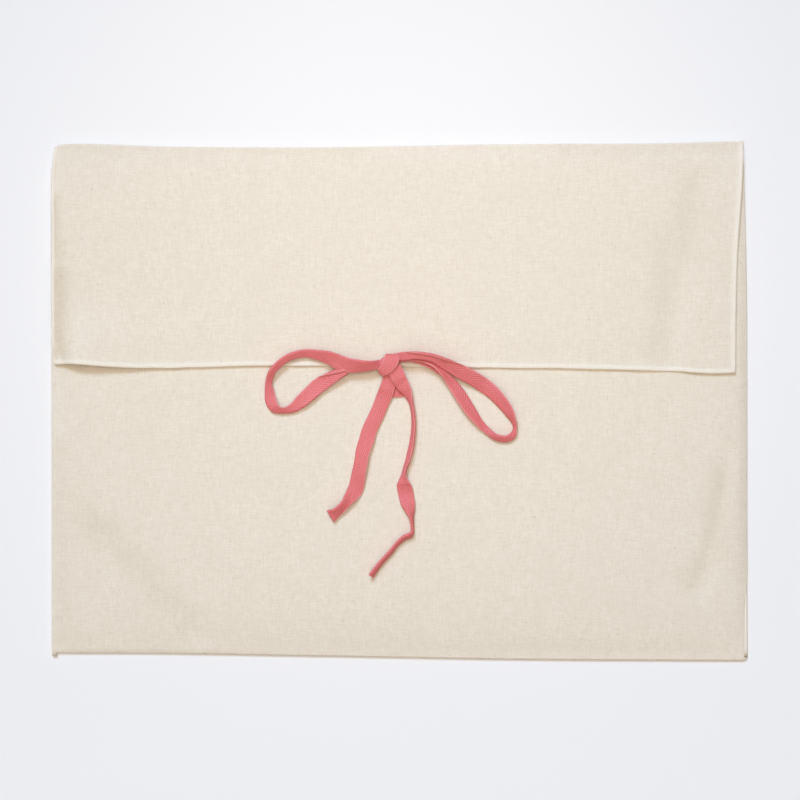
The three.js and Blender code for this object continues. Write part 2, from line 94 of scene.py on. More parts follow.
# Edges as they lie, each a smooth line through (where along it, place across it).
TOP_FOLD = [(-226, 165.6), (-210, 166.6), (-155, 165.0), (-70, 164.2), (78, 166.5),
            (164, 166.9), (224, 168.5)]
BOTTOM_FOLD = [(-226, -162.6), (-155, -162.8), (-70, -164.2), (78, -166.7), (226, -167.6)]
LEFT_EDGE = [(-165, -224.8), (0, -224.9), (140, -225.3), (152, -224.9), (160, -223.8),
             (168, -221.3)]
RIGHT_EDGE = [(-168, 225.4), (-78, 224.9), (67, 224.5), (169, 222.3)]
FLAP_LEFT = [(18, -223.2), (42, -223.5), (100, -223.9), (140, -224.3), (152, -224.2),
             (160, -223.4), (168, -221.3)]
FLAP_RIGHT = [(18, 216.6), (60, 217.0), (95, 217.9), (120, 219.6), (144, 221.3), (169, 222.3)]

# The flap's free edge: x, y and how far it lifts off the front.
FLAP_EDGE = [(-226, 23.4, 0.2), (-217, 23.7, 0.7), (-211, 23.8, 4.4), (-203, 23.5, 5.4),
             (-193, 22.7, 4.3), (-179, 21.8, 2.7), (-166, 21.2, 1.3), (-154, 21.1, 0.6),
             (-135, 21.5, 0.3), (-94, 22.7, 0.15), (51, 21.6, 0.0), (118, 20.7, 0.15),
             (180, 19.0, 0.3), (203, 17.8, 0.5), (226, 18.6, 0.3)]

# Soft creases from (x1, y1) to (x2, y2), with their rise and spread. The main ones are deep.
FRONT_CREASES = [(-211, -66, -186, -88, -1.0, 7), (-186, -88, -128, -154, -1.2, 9),
                 (216, -30, 194, -122, -1.3, 6)]
FLAP_CREASES = [(192, 140, 172, 26, -1.3, 10)]
FRONT_RIPPLES = [(-222, -118, -215, -158, 0.25, 4), (-209, -112, -200, -117, 0.2, 2.5),
                 (218, -60, 210, -118, 0.25, 5)]
FLAP_RIPPLES = [(-224.5, 132, -224.3, 96, 2.0, 4.2), (-224.2, 84, -223.5, 37, 4.2, 7.5),
                (-222.2, 46, -217.2, 24, 0.7, 2.2), (222.5, 158, 219.5, 60, 1.8, 5),
                (219, 52, 217.5, 24, 0.9, 5)]
# Painted shade on the calico, greying it along creases and sides, beside the flap's left rim and
# along the top fold: ends, strength and spread.
PAINTED_SHADE_MARKS = [(-222.5, 130, -221.5, 100, 0.8, 4.0), (-221.5, 100, -217.8, 28, 1.0, 6.5),
           (188, 140, 186, 100, 0.3, 10), (168, 100, 168, 33, 0.3, 9),
           (-205, -75, -175, -102, 0.55, 9), (-175, -102, -140, -143, 0.4, 10),
           (-219, -30, -219, -150, 0.35, 7), (207, -50, 205, -100, 0.45, 8),
           (205, -100, 186, -112, 0.4, 8), (-215, 164, -30, 164, 0.35, 9),
           (110, 166, 215, 166, 0.35, 9)]

# ---- how each tape lies
#
# The rows follow a tape's middle line out from the knot: x, y, tilt, height and width. The tilt,
# in degrees, is positive where the left edge, seen along the way, is the higher. A plain height
# is the lower edge's over the cloth. One in brackets is the middle line's over the knot's bed.
# Without a width, the tape has its own. Where it is narrower, the rest of it is folded under
# from its right side. A sixth value is how much of its left side is turned over on top, and a
# seventh how far the fold stands open, the part below it lying flat.
Row = namedtuple("Row", "x y tilt height width over opening", defaults=(TAPE_WIDTH, 0, 0))

LEFT_LOOP = [
    (-5.0, 24.0, 0, [2.5], 4.6), (-12.5, 23.7, 0, [2.4], 4.6), (-17.0, 22.8, -24, 1.9, 6.2),
    (-22.0, 22.3, -32, 1.9, 7.8), (-31.8, 22.9, -20, 2.0, 9.7), (-38.3, 24.9, -14, 1.8, 9.6),
    (-45.4, 27.8, -22, 0.9, 8.6), (-52.5, 29.6, -24, 0.2, 6.6), (-61.2, 30.6, -24, 0, 5.1),
    (-72.4, 27.1, -24, 0, 4.7), (-80.9, 19.5, -24, 0, 4.5), (-83.6, 12.5, -16, 0, 4.3),
    (-83.4, 6.8, -5, 0, 5.8), (-82.3, -0.1, 8, 0, 7.4), (-79.8, -4.4, 24, 0, 6.8),
    (-74.4, -5.7, 26, 0, 4.4), (-68.1, -3.8, 4, 0, 6.0), (-62.6, 0.6, -8, 0, 8.4),
    (-52.8, 9.4, -10, 0, 10, 0.2), (-47.3, 13.0, -8, 0, 10, 1.6), (-41.5, 16.4, -8, 0, 10, 3.2),
    (-35.5, 19.4, -6, 0, 8.2, 3.6), (-30.0, 21.8, -2, 0, 6.0, 2.6), (-22.0, 23.4, 0, 0.2, 4, 0.6),
    (-12.0, 25.0, 0, [1.4], 4), (-5.4, 26.1, 0, [2.6], 4.6),
]
LEFT_TAIL = [
    (-7.2, 25.0, 0, [2.0], 7), (-7.0, 20.3, 0, [1.4], 7.6), (-6.8, 15.8, 0, [1.1], 7.8),
    (-7.9, 8.7, 2, [0.7], 9.8), (-9.9, 3.2, 5, 0.3), (-13.6, -6.1, 3, 0), (-19.2, -18.4, 4, 0),
    (-21.0, -24.9, 8, 0, 9.8), (-23.6, -32.6, 12, 0, 9.2), (-24.6, -39.1, 13, 0, 9.0),
    (-25.9, -45.5, 12, 0, 9.2), (-27.1, -51.7, 6, 0, 9.9), (-28.7, -57.1, 0, 0, 10, 0.4),
    (-31.7, -62.1, -8, 0, 8.9, 1.8), (-35.1, -66.4, -30, 0, 6.6, 1.6),
    (-39.7, -71.2, -36, 0, 7.0, 0.6), (-44.3, -74.0, -8, 0, 8.6),
]
# The flap's tape starts flat on the flap, under the knot, and rises into it.
FLAP_TAB = [
    (-10.2, 19.4, 0, 0, 4.6), (-10.2, 23.4, 0, 0, 4.6), (-9.6, 26.0, 0, [2.0], 4.6),
    (-8.6, 27.0, 0, [2.4], 4.6),
]
RIGHT_LOOP = [
    (-3.6, 28.6, 0, [4.1], 4.5), (-0.2, 28.7, 4, [4.2], 5.4), (4.3, 29.1, 10, 4.4, 5.8, 0.8),
    (9.8, 29.5, 14, 4.6, 6.4, 2.0), (20.5, 28.2, 16, 3.9, 7.2, 2.5),
    (30.2, 23.8, 18, 2.2, 9.6, 2.2),
    (42.2, 17.6, 14, 0.5, 9.8, 0.4), (51.5, 12.2, 12, 0, 9.8), (58.6, 7.2, 16, 0, 9.2),
    (65.9, -0.3, 22, 0, 8.4), (71.2, -7.9, 32, 0, 6.8), (73.6, -13.8, 50, 0, 4.2),
    (74.2, -17.6, 46, 0, 3.0), (73.1, -21.8, -8, 0, 4.0), (69.0, -24.3, -32, 0, 4.6),
    (62.2, -23.4, -34, 0, 4.4), (57.4, -19.8, -10, 0, 4.1), (52.3, -14.8, 16, 0, 5.2),
    (46.7, -7.4, 20, 0, 7.5), (40.4, 2.2, 20, 0, 8.3), (34.8, 10.2, 16, 0.1, 7.4),
    (30.2, 15.8, 18, 0.2, 5.4, 0, 0.6), (26.6, 19.9, 38, 0.3, 4.8, 0, 0.9),
    (22.2, 23.8, 40, 0.5, 4.2, 0, 0.75), (14.0, 26.6, 32, 0.6, 3.4, 0, 0.4),
    (5.0, 27.2, 10, 0.8, 3.6), (-0.8, 26.6, 0, [1.7], 4),
]
RIGHT_TAIL = [
    (-3.6, 22.2, 0, [3.3], 9.4), (-1.5, 17.4, 0, [3.2], 9.8), (0.7, 13.0, 2, [2.9], 9.2),
    (2.9, 9.4, 8, 2.2, 8.6), (4.8, 6.2, 18, 1.2, 7.0), (6.2, 2.4, 36, 0.3, 4.8),
    (7.5, -1.9, 60, 0, 4.0), (8.5, -8.0, 62, 0, 4.0), (8.9, -15.0, 58, 0, 4.0),
    (8.0, -25.0, 52, 0, 4.2), (7.0, -31.3, 44, 0, 4.4), (5.1, -38.0, 52, 0, 4.2),
    (3.2, -43.6, 62, 0, 4.0), (2.6, -47.0, 50, 0, 4.2), (2.7, -50.0, 22, 0, 6.0),
    (3.1, -54.0, 8, 0, 9.4), (3.9, -58.0, 2, 0), (4.6, -61.3, -2, 0),
    (5.7, -65.2, -8, 0, 9.3), (7.2, -70.0, -20, 0, 6.4), (8.5, -75.0, -60, 0, 4.2),
    (9.0, -80.5, -76, 0, 3.8), (8.9, -84.4, -72, 0, 3.8), (7.2, -86.5, -50, 0, 4.6),
    (3.4, -88.0, -50, 0, 4.4), (-1.3, -92.3, -52, 0, 4.0), (-4.9, -96.8, -52, 0, 4.0),
    (-8.9, -101.2, -52, 0, 4.0), (-13.0, -106.0, -50, 0, 4.2), (-17.8, -112.6, -50, 0, 4.8),
]
# The front's tape: its sewn end under the flap's edge, round the back of the knot and over it.
STUB_AND_BAND = [
    (0.5, 3.0, 0, [-1.45], 10), (0.4, 4.3, 0, [-1.4], 10), (0.4, 5.3, 0, [-1.1], 10),
    (0.3, 6.1, 0, [-1.5], 10), (0.2, 7.2, 0, [-1.3], 9.8), (0.0, 9.5, 0, [-1.45], 9),
    (-1.6, 15.0, 0, [-0.4], 6.5), (-3.0, 19.5, 0, [0.95], 6), (-3.8, 24.0, 0, [1.0], 6),
    (-4.2, 28.6, 0, [1.0], 8), (-4.0, 30.3, 0, [2.5], 9.4), (-4.3, 29.0, 0, [4.4], 9.9),
    (-5.6, 25.4, 0, [4.9], 9.9), (-7.7, 22.1, 0, [4.7], 8.8), (-9.9, 20.0, 0, [4.2], 7.6),
    (-11.9, 18.9, 0, [3.4], 6), (-12.9, 18.8, 0, [2.2], 5),
]
BAND_TURNS_FROM = 0.6  # share of the route where the band begins to slant over the knot
BAND_ACROSS = np.array([-1.0, 0.0, 0.0])
BAND_ACROSS_AT_END = np.array([-0.75, 0.6, 0.0])


# ---- curves, noise and soft steps

def smoothstep(x, low, high):
    t = np.clip((np.asarray(x, float) - low) / (high - low), 0, 1)
    return t * t * (3 - 2 * t)


def lerp(a, b, share):
    return a + (b - a) * share


def catmull(points, place):
    """Centripetal Catmull-Rom curve through points, at places counted in spans."""
    points = np.asarray(points, float)
    place = np.asarray(place, float)
    last = len(points) - 1
    knots = np.vstack([2 * points[0] - points[1], points, 2 * points[-1] - points[-2]])
    span = np.clip(np.floor(place).astype(int), 0, last - 1)
    t = (place - span)[..., None]
    p0, p1, p2, p3 = (knots[span + k] for k in range(4))
    d0, d1, d2 = (np.linalg.norm(b - a, axis=-1, keepdims=True) ** 0.5
                  for a, b in ((p0, p1), (p1, p2), (p2, p3)))
    d1 = np.where(d1 < 1e-4, 1.0, d1)
    d0, d2 = np.where(d0 < 1e-4, d1, d0), np.where(d2 < 1e-4, d1, d2)
    out = ((p1 - p0) / d0 - (p2 - p0) / (d0 + d1) + (p2 - p1) / d1) * d1
    into = ((p2 - p1) / d1 - (p3 - p1) / (d1 + d2) + (p3 - p2) / d2) * d1
    return (p1 + out * t + (3 * (p2 - p1) - 2 * out - into) * t ** 2
            + (2 * (p1 - p2) + out + into) * t ** 3)


def unit(vectors):
    return vectors / np.linalg.norm(vectors, axis=-1, keepdims=True)


def stacked(*arrays):
    return np.stack(np.broadcast_arrays(*arrays), -1)


def through(rows, value=1):
    """A smooth function through a table's rows: the column `value` against the first one."""
    points = np.array([(row[0], row[value]) for row in rows], float)

    def at(where):
        inside = np.clip(where, points[0, 0], points[-1, 0])
        span = np.clip(np.searchsorted(points[:, 0], inside) - 1, 0, len(points) - 2)
        share = (inside - points[span, 0]) / (points[span + 1, 0] - points[span, 0])
        return catmull(points, span + share)[..., 1]

    return at


def soft_noise(x, y, size, seed):
    """Smooth noise from -1 to 1 in lumps of the given size, in millimetres."""
    cells = 64
    lattice = np.random.default_rng(seed).uniform(-1, 1, (cells, cells))
    u, v = np.broadcast_arrays(np.asarray(x, float) / size, np.asarray(y, float) / size)
    i, j = np.floor(u).astype(int), np.floor(v).astype(int)
    s, t = u - i, v - j
    s, t = s * s * (3 - 2 * s), t * t * (3 - 2 * t)

    def corner(right, up):
        return lattice[(i + right) % cells, (j + up) % cells]

    return lerp(lerp(corner(0, 0), corner(1, 0), s), lerp(corner(0, 1), corner(1, 1), s), t)


def crease_rise(creases, x, y):
    rise = np.zeros(np.broadcast(x, y).shape)
    for x1, y1, x2, y2, height, spread in creases:
        run = np.array([x2 - x1, y2 - y1], float)
        along = np.clip(((x - x1) * run[0] + (y - y1) * run[1]) / (run @ run), 0, 1)
        away = np.hypot(x - x1 - along * run[0], y - y1 - along * run[1]) / spread
        rise += height * np.exp(-away ** 2)
    return rise


# ---- the cloth as it lies

top_fold_at, bottom_fold_at = through(TOP_FOLD), through(BOTTOM_FOLD)
left_at, right_at = through(LEFT_EDGE), through(RIGHT_EDGE)
flap_left_at, flap_right_at = through(FLAP_LEFT), through(FLAP_RIGHT)
flap_edge_at, flap_lift_at = through(FLAP_EDGE, 1), through(FLAP_EDGE, 2)


def swell(x, y):
    """The swell of the empty pouch, none at its sewn and folded edges."""
    across = np.minimum(np.abs(x) / (FLAT_WIDTH / 2), 1)
    along = np.minimum(np.abs(y) / (FLAT_HEIGHT / 2), 1)
    from_side = np.maximum(SIDE_LINE - np.abs(x), 0)
    shoulder = SIDE_RISE * (1 - np.exp(-from_side / SIDE_REACH))
    return (CROWN * (1 - across ** 4) + shoulder) * (1 - along ** 6)


def creased(creases, x, y):
    """Main creases, dying out at the side seams and at the folds."""
    from_side = smoothstep(FLAT_WIDTH / 2 - np.abs(x), 0, 14)
    from_fold = smoothstep(FLAT_HEIGHT / 2 - np.abs(y), 0, 10)
    return from_side * from_fold * np.maximum(crease_rise(creases, x, y), DEEPEST_CREASE)


def front_height(x, y):
    return FRONT_MIDDLE + swell(x, y) + creased(FRONT_CREASES, x, y)


def flap_height(x, y):
    from_edge = np.maximum(y - flap_edge_at(x), 0)
    lift = flap_lift_at(x) * (1 - smoothstep(from_edge, 0, LIFT_REACH))
    return FLAP_MIDDLE + swell(x, y) + lift + creased(FLAP_CREASES, x, y)


def cloth_top(x, y):
    """Top of the cloth, eased up to the flap before the step at its free edge."""
    front = front_height(x, y) + CLOTH / 2
    flap = flap_height(x, np.maximum(y, flap_edge_at(x))) + CLOTH / 2
    from_edge = y - flap_edge_at(x)
    rim = HEM_EXTRA * (1 - smoothstep(from_edge, HEM_WIDTH, HEM_WIDTH + 5))
    return lerp(front, flap + rim, smoothstep(from_edge, -8, -1))


def resting_height(x, y, reach):
    """The highest cloth under a tape's width, where its lower edge comes to rest."""
    highest = cloth_top(x, y)
    for turn in np.arange(8) * math.tau / 8:
        beside = cloth_top(x + reach * math.cos(turn), y + reach * math.sin(turn))
        highest = np.maximum(highest, beside)
    return highest


KNOT_BED = float(cloth_top(*np.array(KNOT_PLACE)))

# The tables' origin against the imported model's, which lies under the middle of its box.
low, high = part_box("envelope")
ORIGIN = np.array([
    (low[0] + high[0]) / 2 / MM - (min(x for y, x in LEFT_EDGE) + RIGHT_EDGE[0][1]) / 2,
    (low[1] + high[1]) / 2 / MM - (TOP_FOLD[-1][1] + BOTTOM_FOLD[-1][1]) / 2,
    low[2] / MM,
])

# ---- meshes

# Each point's place on the flat cloth, in millimetres. On the calico, the third number is how
# far it is from the flap's nearest free edge.
PLACE = "cloth_place"
# How much painted shade greys the calico there, from 0 to 1.
PAINTED_SHADE_SHARE = "painted_shade"
BLUNT_EDGE = 0.12  # share of a sheet's thickness that is left at its very edge


def grid_faces(index):
    """Quads of a grid of point numbers."""
    return np.stack([index[:-1, :-1], index[:-1, 1:], index[1:, 1:], index[1:, :-1]], -1)


def add_mesh(name, points, faces, place, material):
    mesh = bpy.data.meshes.new(name)
    mesh.from_pydata(((points + ORIGIN) * MM).tolist(), [], faces.tolist())
    mesh.polygons.foreach_set("use_smooth", [True] * len(mesh.polygons))
    attribute = mesh.attributes.new(PLACE, "FLOAT_VECTOR", "POINT")
    attribute.data.foreach_set("vector", np.asarray(place, np.float32).ravel())
    mesh.validate()
    mesh.update()
    made = bpy.data.objects.new(name, mesh)
    bpy.context.scene.collection.objects.link(made)
    mesh.materials.append(material)
    return made


def closed_sheet(outer, inner, place):
    """Points, faces and cloth places of a sheet with two faces and closed edges."""
    rows, columns = outer.shape[:2]
    top = np.arange(rows * columns).reshape(rows, columns)
    under = top + rows * columns
    border = np.concatenate([top[0, :-1], top[:-1, -1], top[-1, :0:-1], top[:0:-1, 0]])
    below = border + rows * columns
    rim = np.stack([border, below, np.roll(below, -1), np.roll(border, -1)], -1)
    faces = np.concatenate([
        grid_faces(top).reshape(-1, 4),
        grid_faces(under).reshape(-1, 4)[:, ::-1],
        rim,
    ])
    points = np.concatenate([outer.reshape(-1, 3), inner.reshape(-1, 3)])
    return points, faces, np.concatenate([place.reshape(-1, 3)] * 2)


def rounded(distance, radius):
    """Share of a sheet's thickness at a distance from its rounded edge."""
    inside = 1 - np.clip(distance / radius, 0, 1)
    return np.maximum(np.sqrt(1 - inside ** 2), BLUNT_EDGE)


# ---- the envelope

NEAR_EDGE = [0, 0.05, 0.16, 0.34, 0.6, 0.95, 1.4, 1.9, 2.35, 2.75, 3.15, 3.6, 4.3, 5.3, 6.8,
             8.8, 11.2, 13.8]
EDGE_STEPS = [step for step in NEAR_EDGE if step <= 9]
# How much each corner is rounded off, over what reach and how sharply.
TOP_LEFT_CORNER = (1.6, 2.2, 1.6)
TOP_RIGHT_CORNER = (0.8, 1.2, 2)
BOTTOM_CORNERS = (1.4, 1.8, 2)
FLAP_LEFT_CORNER = (2.4, 2.2, 1.5)
FLAP_RIGHT_CORNER = (0.9, 1.2, 2)
EDGE_PRESS = 0.36  # how far the flap's free edge is pressed down onto the front
TOP_PRESS = 0.9  # the folds are pressed flatter than the layers beside them
BOTTOM_PRESS = 0.5
FOLD_EASE = 12.0  # how far from a fold's rounding the cloth is still smooth
SEAM_PEEK = 2.3  # the back shows past the front along the lower right side
PEEK_FADES = (-134, -112)  # and comes back under it here
COVERED_FROM = 34.0  # above this line the flap hides the front
UNEVEN_FADES = (60, 90)  # and well above it the front is left smooth
SEAM_ALLOWANCE = 3.2
SEAM_INSET = 0.35
SEAM_ENDS = (-164.5, 149)
SEAM_UNDERSIDE = BACK_MIDDLE + 0.3  # just inside the back panel
UNEVENNESS = ((46, 0.14), (21, 0.05), (9, 0.012))  # size and height of the cloth's soft lumps
FREE_EDGE_STRAY = 0.16
RIM_IN_FOLD = 0.35  # what is left of the side rims in the top fold
FAR = 99.0  # well away from any edge

# How finely the strip is divided.
MIDDLE_COLUMNS = 142
FLAP_ROWS = 52
FOLD_TURNS = [math.pi * i / 12 for i in range(1, 12)]
BACK_ROWS = 44
FRONT_ROWS = 70
HIDDEN_ROWS = 22
FLAP_POINT = (20, 80)  # row and column of a point on the flap's middle


def column_places(middle_columns):
    near = np.array(NEAR_EDGE)
    middle = np.linspace(near[-1], FLAT_WIDTH - near[-1], middle_columns + 2)[1:-1]
    return np.concatenate([near, middle, FLAT_WIDTH - near[::-1]])


def undulation(x, y, seed):
    """Small unevenness of cloth that has been folded and used."""
    return sum(soft_noise(x, y, size, seed + k) * height
               for k, (size, height) in enumerate(UNEVENNESS))


def corner_cut(distance, corner):
    """What a rounded corner takes off an edge, at a distance from the corner."""
    cut, reach, power = corner
    return cut * np.clip(1 - distance / reach, 0, 1) ** power


def rim_profile(distance, along, seed, width=HEM_WIDTH):
    """Extra thickness of a rolled rim, a little uneven along its length."""
    width = width + 0.25 * soft_noise(along, 0, 17, seed)
    body = 1 - smoothstep(distance, width - 1.2, width + 0.9)
    puffy = 1 + 0.14 * soft_noise(along, 0, 6, seed + 1) + 0.1 * soft_noise(along, 0, 2.4, seed + 2)
    return HEM_EXTRA * puffy * body


class CalicoStrip:
    """The strip of calico from the flap's free edge, over both folds, to the pocket's mouth.

    It is laid row by row, and each row runs across the pouch from its left side.
    """

    def __init__(self):
        from_left = column_places(MIDDLE_COLUMNS)
        from_right = FLAT_WIDTH - from_left
        from_side = np.minimum(from_left, from_right)
        share = from_left / FLAT_WIDTH
        rough_x = from_left - FLAT_WIDTH / 2
        top = top_fold_at(rough_x) - corner_cut(from_left, TOP_LEFT_CORNER)
        top = top - corner_cut(from_right, TOP_RIGHT_CORNER)
        bottom = bottom_fold_at(rough_x) + corner_cut(from_side, BOTTOM_CORNERS)
        free = flap_edge_at(lerp(-FLAT_WIDTH / 2, FLAP_FREE_WIDTH - FLAT_WIDTH / 2, share))
        free = free + corner_cut(from_left, FLAP_LEFT_CORNER)
        free = free + corner_cut(from_right, FLAP_RIGHT_CORNER)
        self.free = free + FREE_EDGE_STRAY * soft_noise(from_left, 0, 11, 70)
        self.share, self.from_right, self.from_side = share, from_right, from_side
        self.side_hem = np.where(from_left < FLAT_WIDTH / 2, LEFT_HEM_WIDTH, HEM_WIDTH)

        sewn = 1 - smoothstep(from_side, SEAM_FLAT, SEAM_REACH)
        self.front_sink = (LAYER_GAP - SEAM_TOUCH) * sewn
        self.flap_sink = FLAP_SINK * (1 - smoothstep(from_side, SEAM_FLAT, FLAP_SINK_REACH))
        self.bottom_sink = np.maximum(self.front_sink, BOTTOM_PRESS)
        self.top_radius = (FLAP_MIDDLE - self.flap_sink - TOP_PRESS - BACK_MIDDLE) / 2
        self.bottom_radius = (FRONT_MIDDLE - self.bottom_sink - BACK_MIDDLE) / 2
        self.top_centre = top - self.top_radius - CLOTH / 2
        self.bottom_centre = bottom + self.bottom_radius + CLOTH / 2
        self.mouth = top - MOUTH_BELOW_FOLD

        self.rows = []
        self.lay_flap()
        self.lay_top_fold()
        self.lay_back()
        self.lay_bottom_fold()
        self.lay_front()

    def add(self, x, y, z, extra=0, from_edge=FAR, from_rim=FAR):
        """A row, with the rim's extra thickness, and how far it is from a cut edge and a rim."""
        distance = np.minimum(self.from_side, from_edge)
        outer = (CLOTH / 2 + extra) * rounded(distance, CLOTH / 2 + extra * 0.6)
        inner = CLOTH / 2 * rounded(distance, CLOTH / 2)
        self.rows.append(np.broadcast_arrays(x, y, z, outer, inner, from_rim))

    def columns(self):
        """The laid rows: x, y, z, how thick the cloth is to its two sides, and from_rim."""
        return np.array(self.rows).transpose(1, 0, 2)

    def between(self, left, right):
        return lerp(left, right, self.share)

    def flap_row(self, y, from_edge):
        x = self.between(flap_left_at(y), flap_right_at(y))
        z = flap_height(x, y) - self.flap_sink * smoothstep(from_edge, -4, 10)
        z = z - EDGE_PRESS * (1 - smoothstep(from_edge, 4, 26))
        quiet = smoothstep(self.top_centre - y, 0, FOLD_EASE)
        z = z - TOP_PRESS * (1 - quiet)
        uneven = lerp(undulation(x, y, 21), undulation(x, y, 11), smoothstep(from_edge, 10, 60))
        z = z + quiet * (uneven + crease_rise(FLAP_RIPPLES, x, y))
        side_rim = rim_profile(self.from_side, y, 30, self.side_hem)
        edge_rim = rim_profile(from_edge, x, 40)
        fade = lerp(RIM_IN_FOLD, 1, smoothstep(self.top_centre - y, 0, 10))
        from_side_rim = self.from_side * HEM_WIDTH / self.side_hem
        self.add(x, y, z, np.maximum(side_rim * fade, edge_rim), from_edge,
                 np.minimum(from_side_rim, from_edge))

    def lay_flap(self):
        for step in EDGE_STEPS:
            self.flap_row(self.free + step, step)
        for i in range(1, FLAP_ROWS + 1):
            y = lerp(self.free + EDGE_STEPS[-1], self.top_centre, i / FLAP_ROWS)
            self.flap_row(y, y - self.free)

    def lay_top_fold(self):
        for turn in FOLD_TURNS:
            y = self.top_centre + math.sin(turn) * self.top_radius
            z = BACK_MIDDLE + self.top_radius * (1 + math.cos(turn))
            rim = RIM_IN_FOLD * rim_profile(self.from_side, y, 30, self.side_hem)
            self.add(self.between(left_at(y), right_at(y)), y, z, rim * max(math.cos(turn), 0))

    def lay_back(self):
        for i in range(BACK_ROWS + 1):
            y = lerp(self.top_centre, self.bottom_centre, i / BACK_ROWS)
            self.add(self.between(left_at(y), right_at(y)), y, BACK_MIDDLE)

    def front_x(self, y, turned=1):
        """Places across the front, whose right side stays back near the bottom fold."""
        peek = SEAM_PEEK * turned * (1 - smoothstep(y, *PEEK_FADES))
        lip = peek * (1 - smoothstep(self.from_right, 0, 30))
        return self.between(left_at(y), right_at(y)) - lip

    def lay_bottom_fold(self):
        for turn in FOLD_TURNS:
            y = self.bottom_centre - math.sin(turn) * self.bottom_radius
            z = BACK_MIDDLE + self.bottom_radius * (1 - math.cos(turn))
            self.add(self.front_x(y, (1 - math.cos(turn)) / 2), y, z)

    def front_row(self, y, from_edge=FAR):
        x = self.front_x(y)
        from_fold = y - self.bottom_centre
        quiet = smoothstep(from_fold, 0, FOLD_EASE)
        sink = lerp(self.bottom_sink, self.front_sink, smoothstep(from_fold, 0, 18))
        open_part = 1 - smoothstep(y, *UNEVEN_FADES)
        uneven = undulation(x, y, 21) + crease_rise(FRONT_RIPPLES, x, y)
        z = front_height(x, y) - sink + quiet * open_part * uneven
        self.add(x, y, z, from_edge=from_edge)

    def lay_front(self):
        for i in range(FRONT_ROWS + 1):
            self.front_row(lerp(self.bottom_centre, COVERED_FROM, i / FRONT_ROWS))
        for i in range(1, HIDDEN_ROWS + 1):
            y = lerp(COVERED_FROM, self.mouth - EDGE_STEPS[6], i / HIDDEN_ROWS)
            self.front_row(y, self.mouth - y)
        for step in EDGE_STEPS[5::-1]:
            self.front_row(self.mouth - step, step)


def seam_strip(edge_at, inward):
    """The turned-in allowance that closes one side of the pocket, between front and back."""
    y = np.linspace(*SEAM_ENDS, 80)[:, None]
    across = np.linspace(SEAM_INSET, SEAM_ALLOWANCE, 5)[None, :]
    x = edge_at(y) + inward * across
    low_face = stacked(x, y, SEAM_UNDERSIDE)
    high_face = stacked(x, y, SEAM_UNDERSIDE + CLOTH)
    place = stacked(across, y, 0.0)
    if inward > 0:
        return closed_sheet(high_face, low_face, place)
    return closed_sheet(high_face[:, ::-1], low_face[:, ::-1], place[:, ::-1])


def join_parts(parts):
    """One set of points, faces and cloth places from several."""
    points, faces, places, count = [], [], [], 0
    for part_points, part_faces, part_places in parts:
        points.append(part_points)
        faces.append(part_faces + count)
        places.append(part_places)
        count += len(part_points)
    return np.concatenate(points), np.concatenate(faces), np.concatenate(places)


def facing_out(part):
    """The same part with its faces turned outwards."""
    points, faces, place = part
    a, b, c, d = (points[faces[:, k]] for k in range(4))
    volume = np.einsum("ij,ij->", a, np.cross(b, c)) + np.einsum("ij,ij->", a, np.cross(c, d))
    return (points, faces, place) if volume > 0 else (points, faces[:, ::-1], place)


def envelope_mesh():
    strip = CalicoStrip()
    x, y, z, outward, inward, from_rim = strip.columns()
    middle = stacked(x, y, z)
    normal = unit(np.cross(np.gradient(middle, axis=1), np.gradient(middle, axis=0)))
    if normal[FLAP_POINT][2] < 0:
        normal = -normal
    outer = middle + normal * outward[..., None]
    inner = middle - normal * inward[..., None]
    steps = np.linalg.norm(np.diff(middle, axis=0), axis=-1)
    length = np.vstack([np.zeros(middle.shape[1]), np.cumsum(steps, axis=0)])
    fold_row = int(np.argmax(middle[:, FLAP_POINT[1], 1]))
    length = length - length[fold_row]
    place = stacked(strip.share * FLAT_WIDTH, length, from_rim)
    parts = [closed_sheet(outer, inner, place), seam_strip(left_at, 1), seam_strip(right_at, -1)]
    return join_parts([facing_out(part) for part in parts]), length


def painted_shade_share(points):
    """How much painted shade greys the calico at each point. Beside the left rim the painted shade
    starts sharply.
    """
    x, y, z = points.T
    painted_darkening = np.maximum.reduce([crease_rise([mark], x, y) for mark in PAINTED_SHADE_MARKS])
    from_edge = y - flap_edge_at(x)
    slant = 0.3 * np.maximum(17 - from_edge, 0)
    past_rim = smoothstep(x - flap_left_at(y) - slant, 1.3, 2.5)
    outside = smoothstep(z, BACK_MIDDLE + 0.6 * CLOTH, FRONT_MIDDLE)
    return painted_darkening * np.where(from_edge > -0.5, past_rim, 1) * outside


# ---- the tapes
#
# Across a tape, v runs from 1 at its left selvedge to -1 at its right.

TAPE = 0.7  # its thickness
TAPE_ROOM = 0.5  # half the height that it takes up where it lies flat
ACROSS_POINTS = 25
TOWARDS_SELVEDGES = 1.12  # how much closer together they are near the selvedges
STEPS_PER_ROW = 18
SETTLE_STEPS = 5  # over how many steps it bridges the cloth's small steps
SETTLE_DEPTH = 0.15  # and how far it may settle there
THINNEST = 0.22  # share of the thickness that is left at the selvedges
GROOVE = 0.1  # share of the thickness that a groove beside each selvedge takes
GROOVE_PLACE = 0.86
GROOVE_SPREAD = 0.05
FOLD_BEND = 1.6  # how much of the tape's width bends where it is folded under
FOLD_INSET = 0.3  # how much narrower the part underneath stays
FOLD_TURN = math.radians(174)
FOLD_DROP = 2 * FOLD_BEND / FOLD_TURN  # from one layer down to the other
CUP = 0.22  # how much the tape cups
GATHER = 0.8  # how much it bulges where it is squeezed narrow
WRINKLE = 0.07
SELVEDGE_STRAY = 0.13
PICK_BUMP = 0.05  # height and spacing of the weft's small bumps along a selvedge
PICK = 1.15


def half_height(width, tilt):
    return width / 2 * np.abs(np.sin(tilt)) + TAPE_ROOM * np.abs(np.cos(tilt))


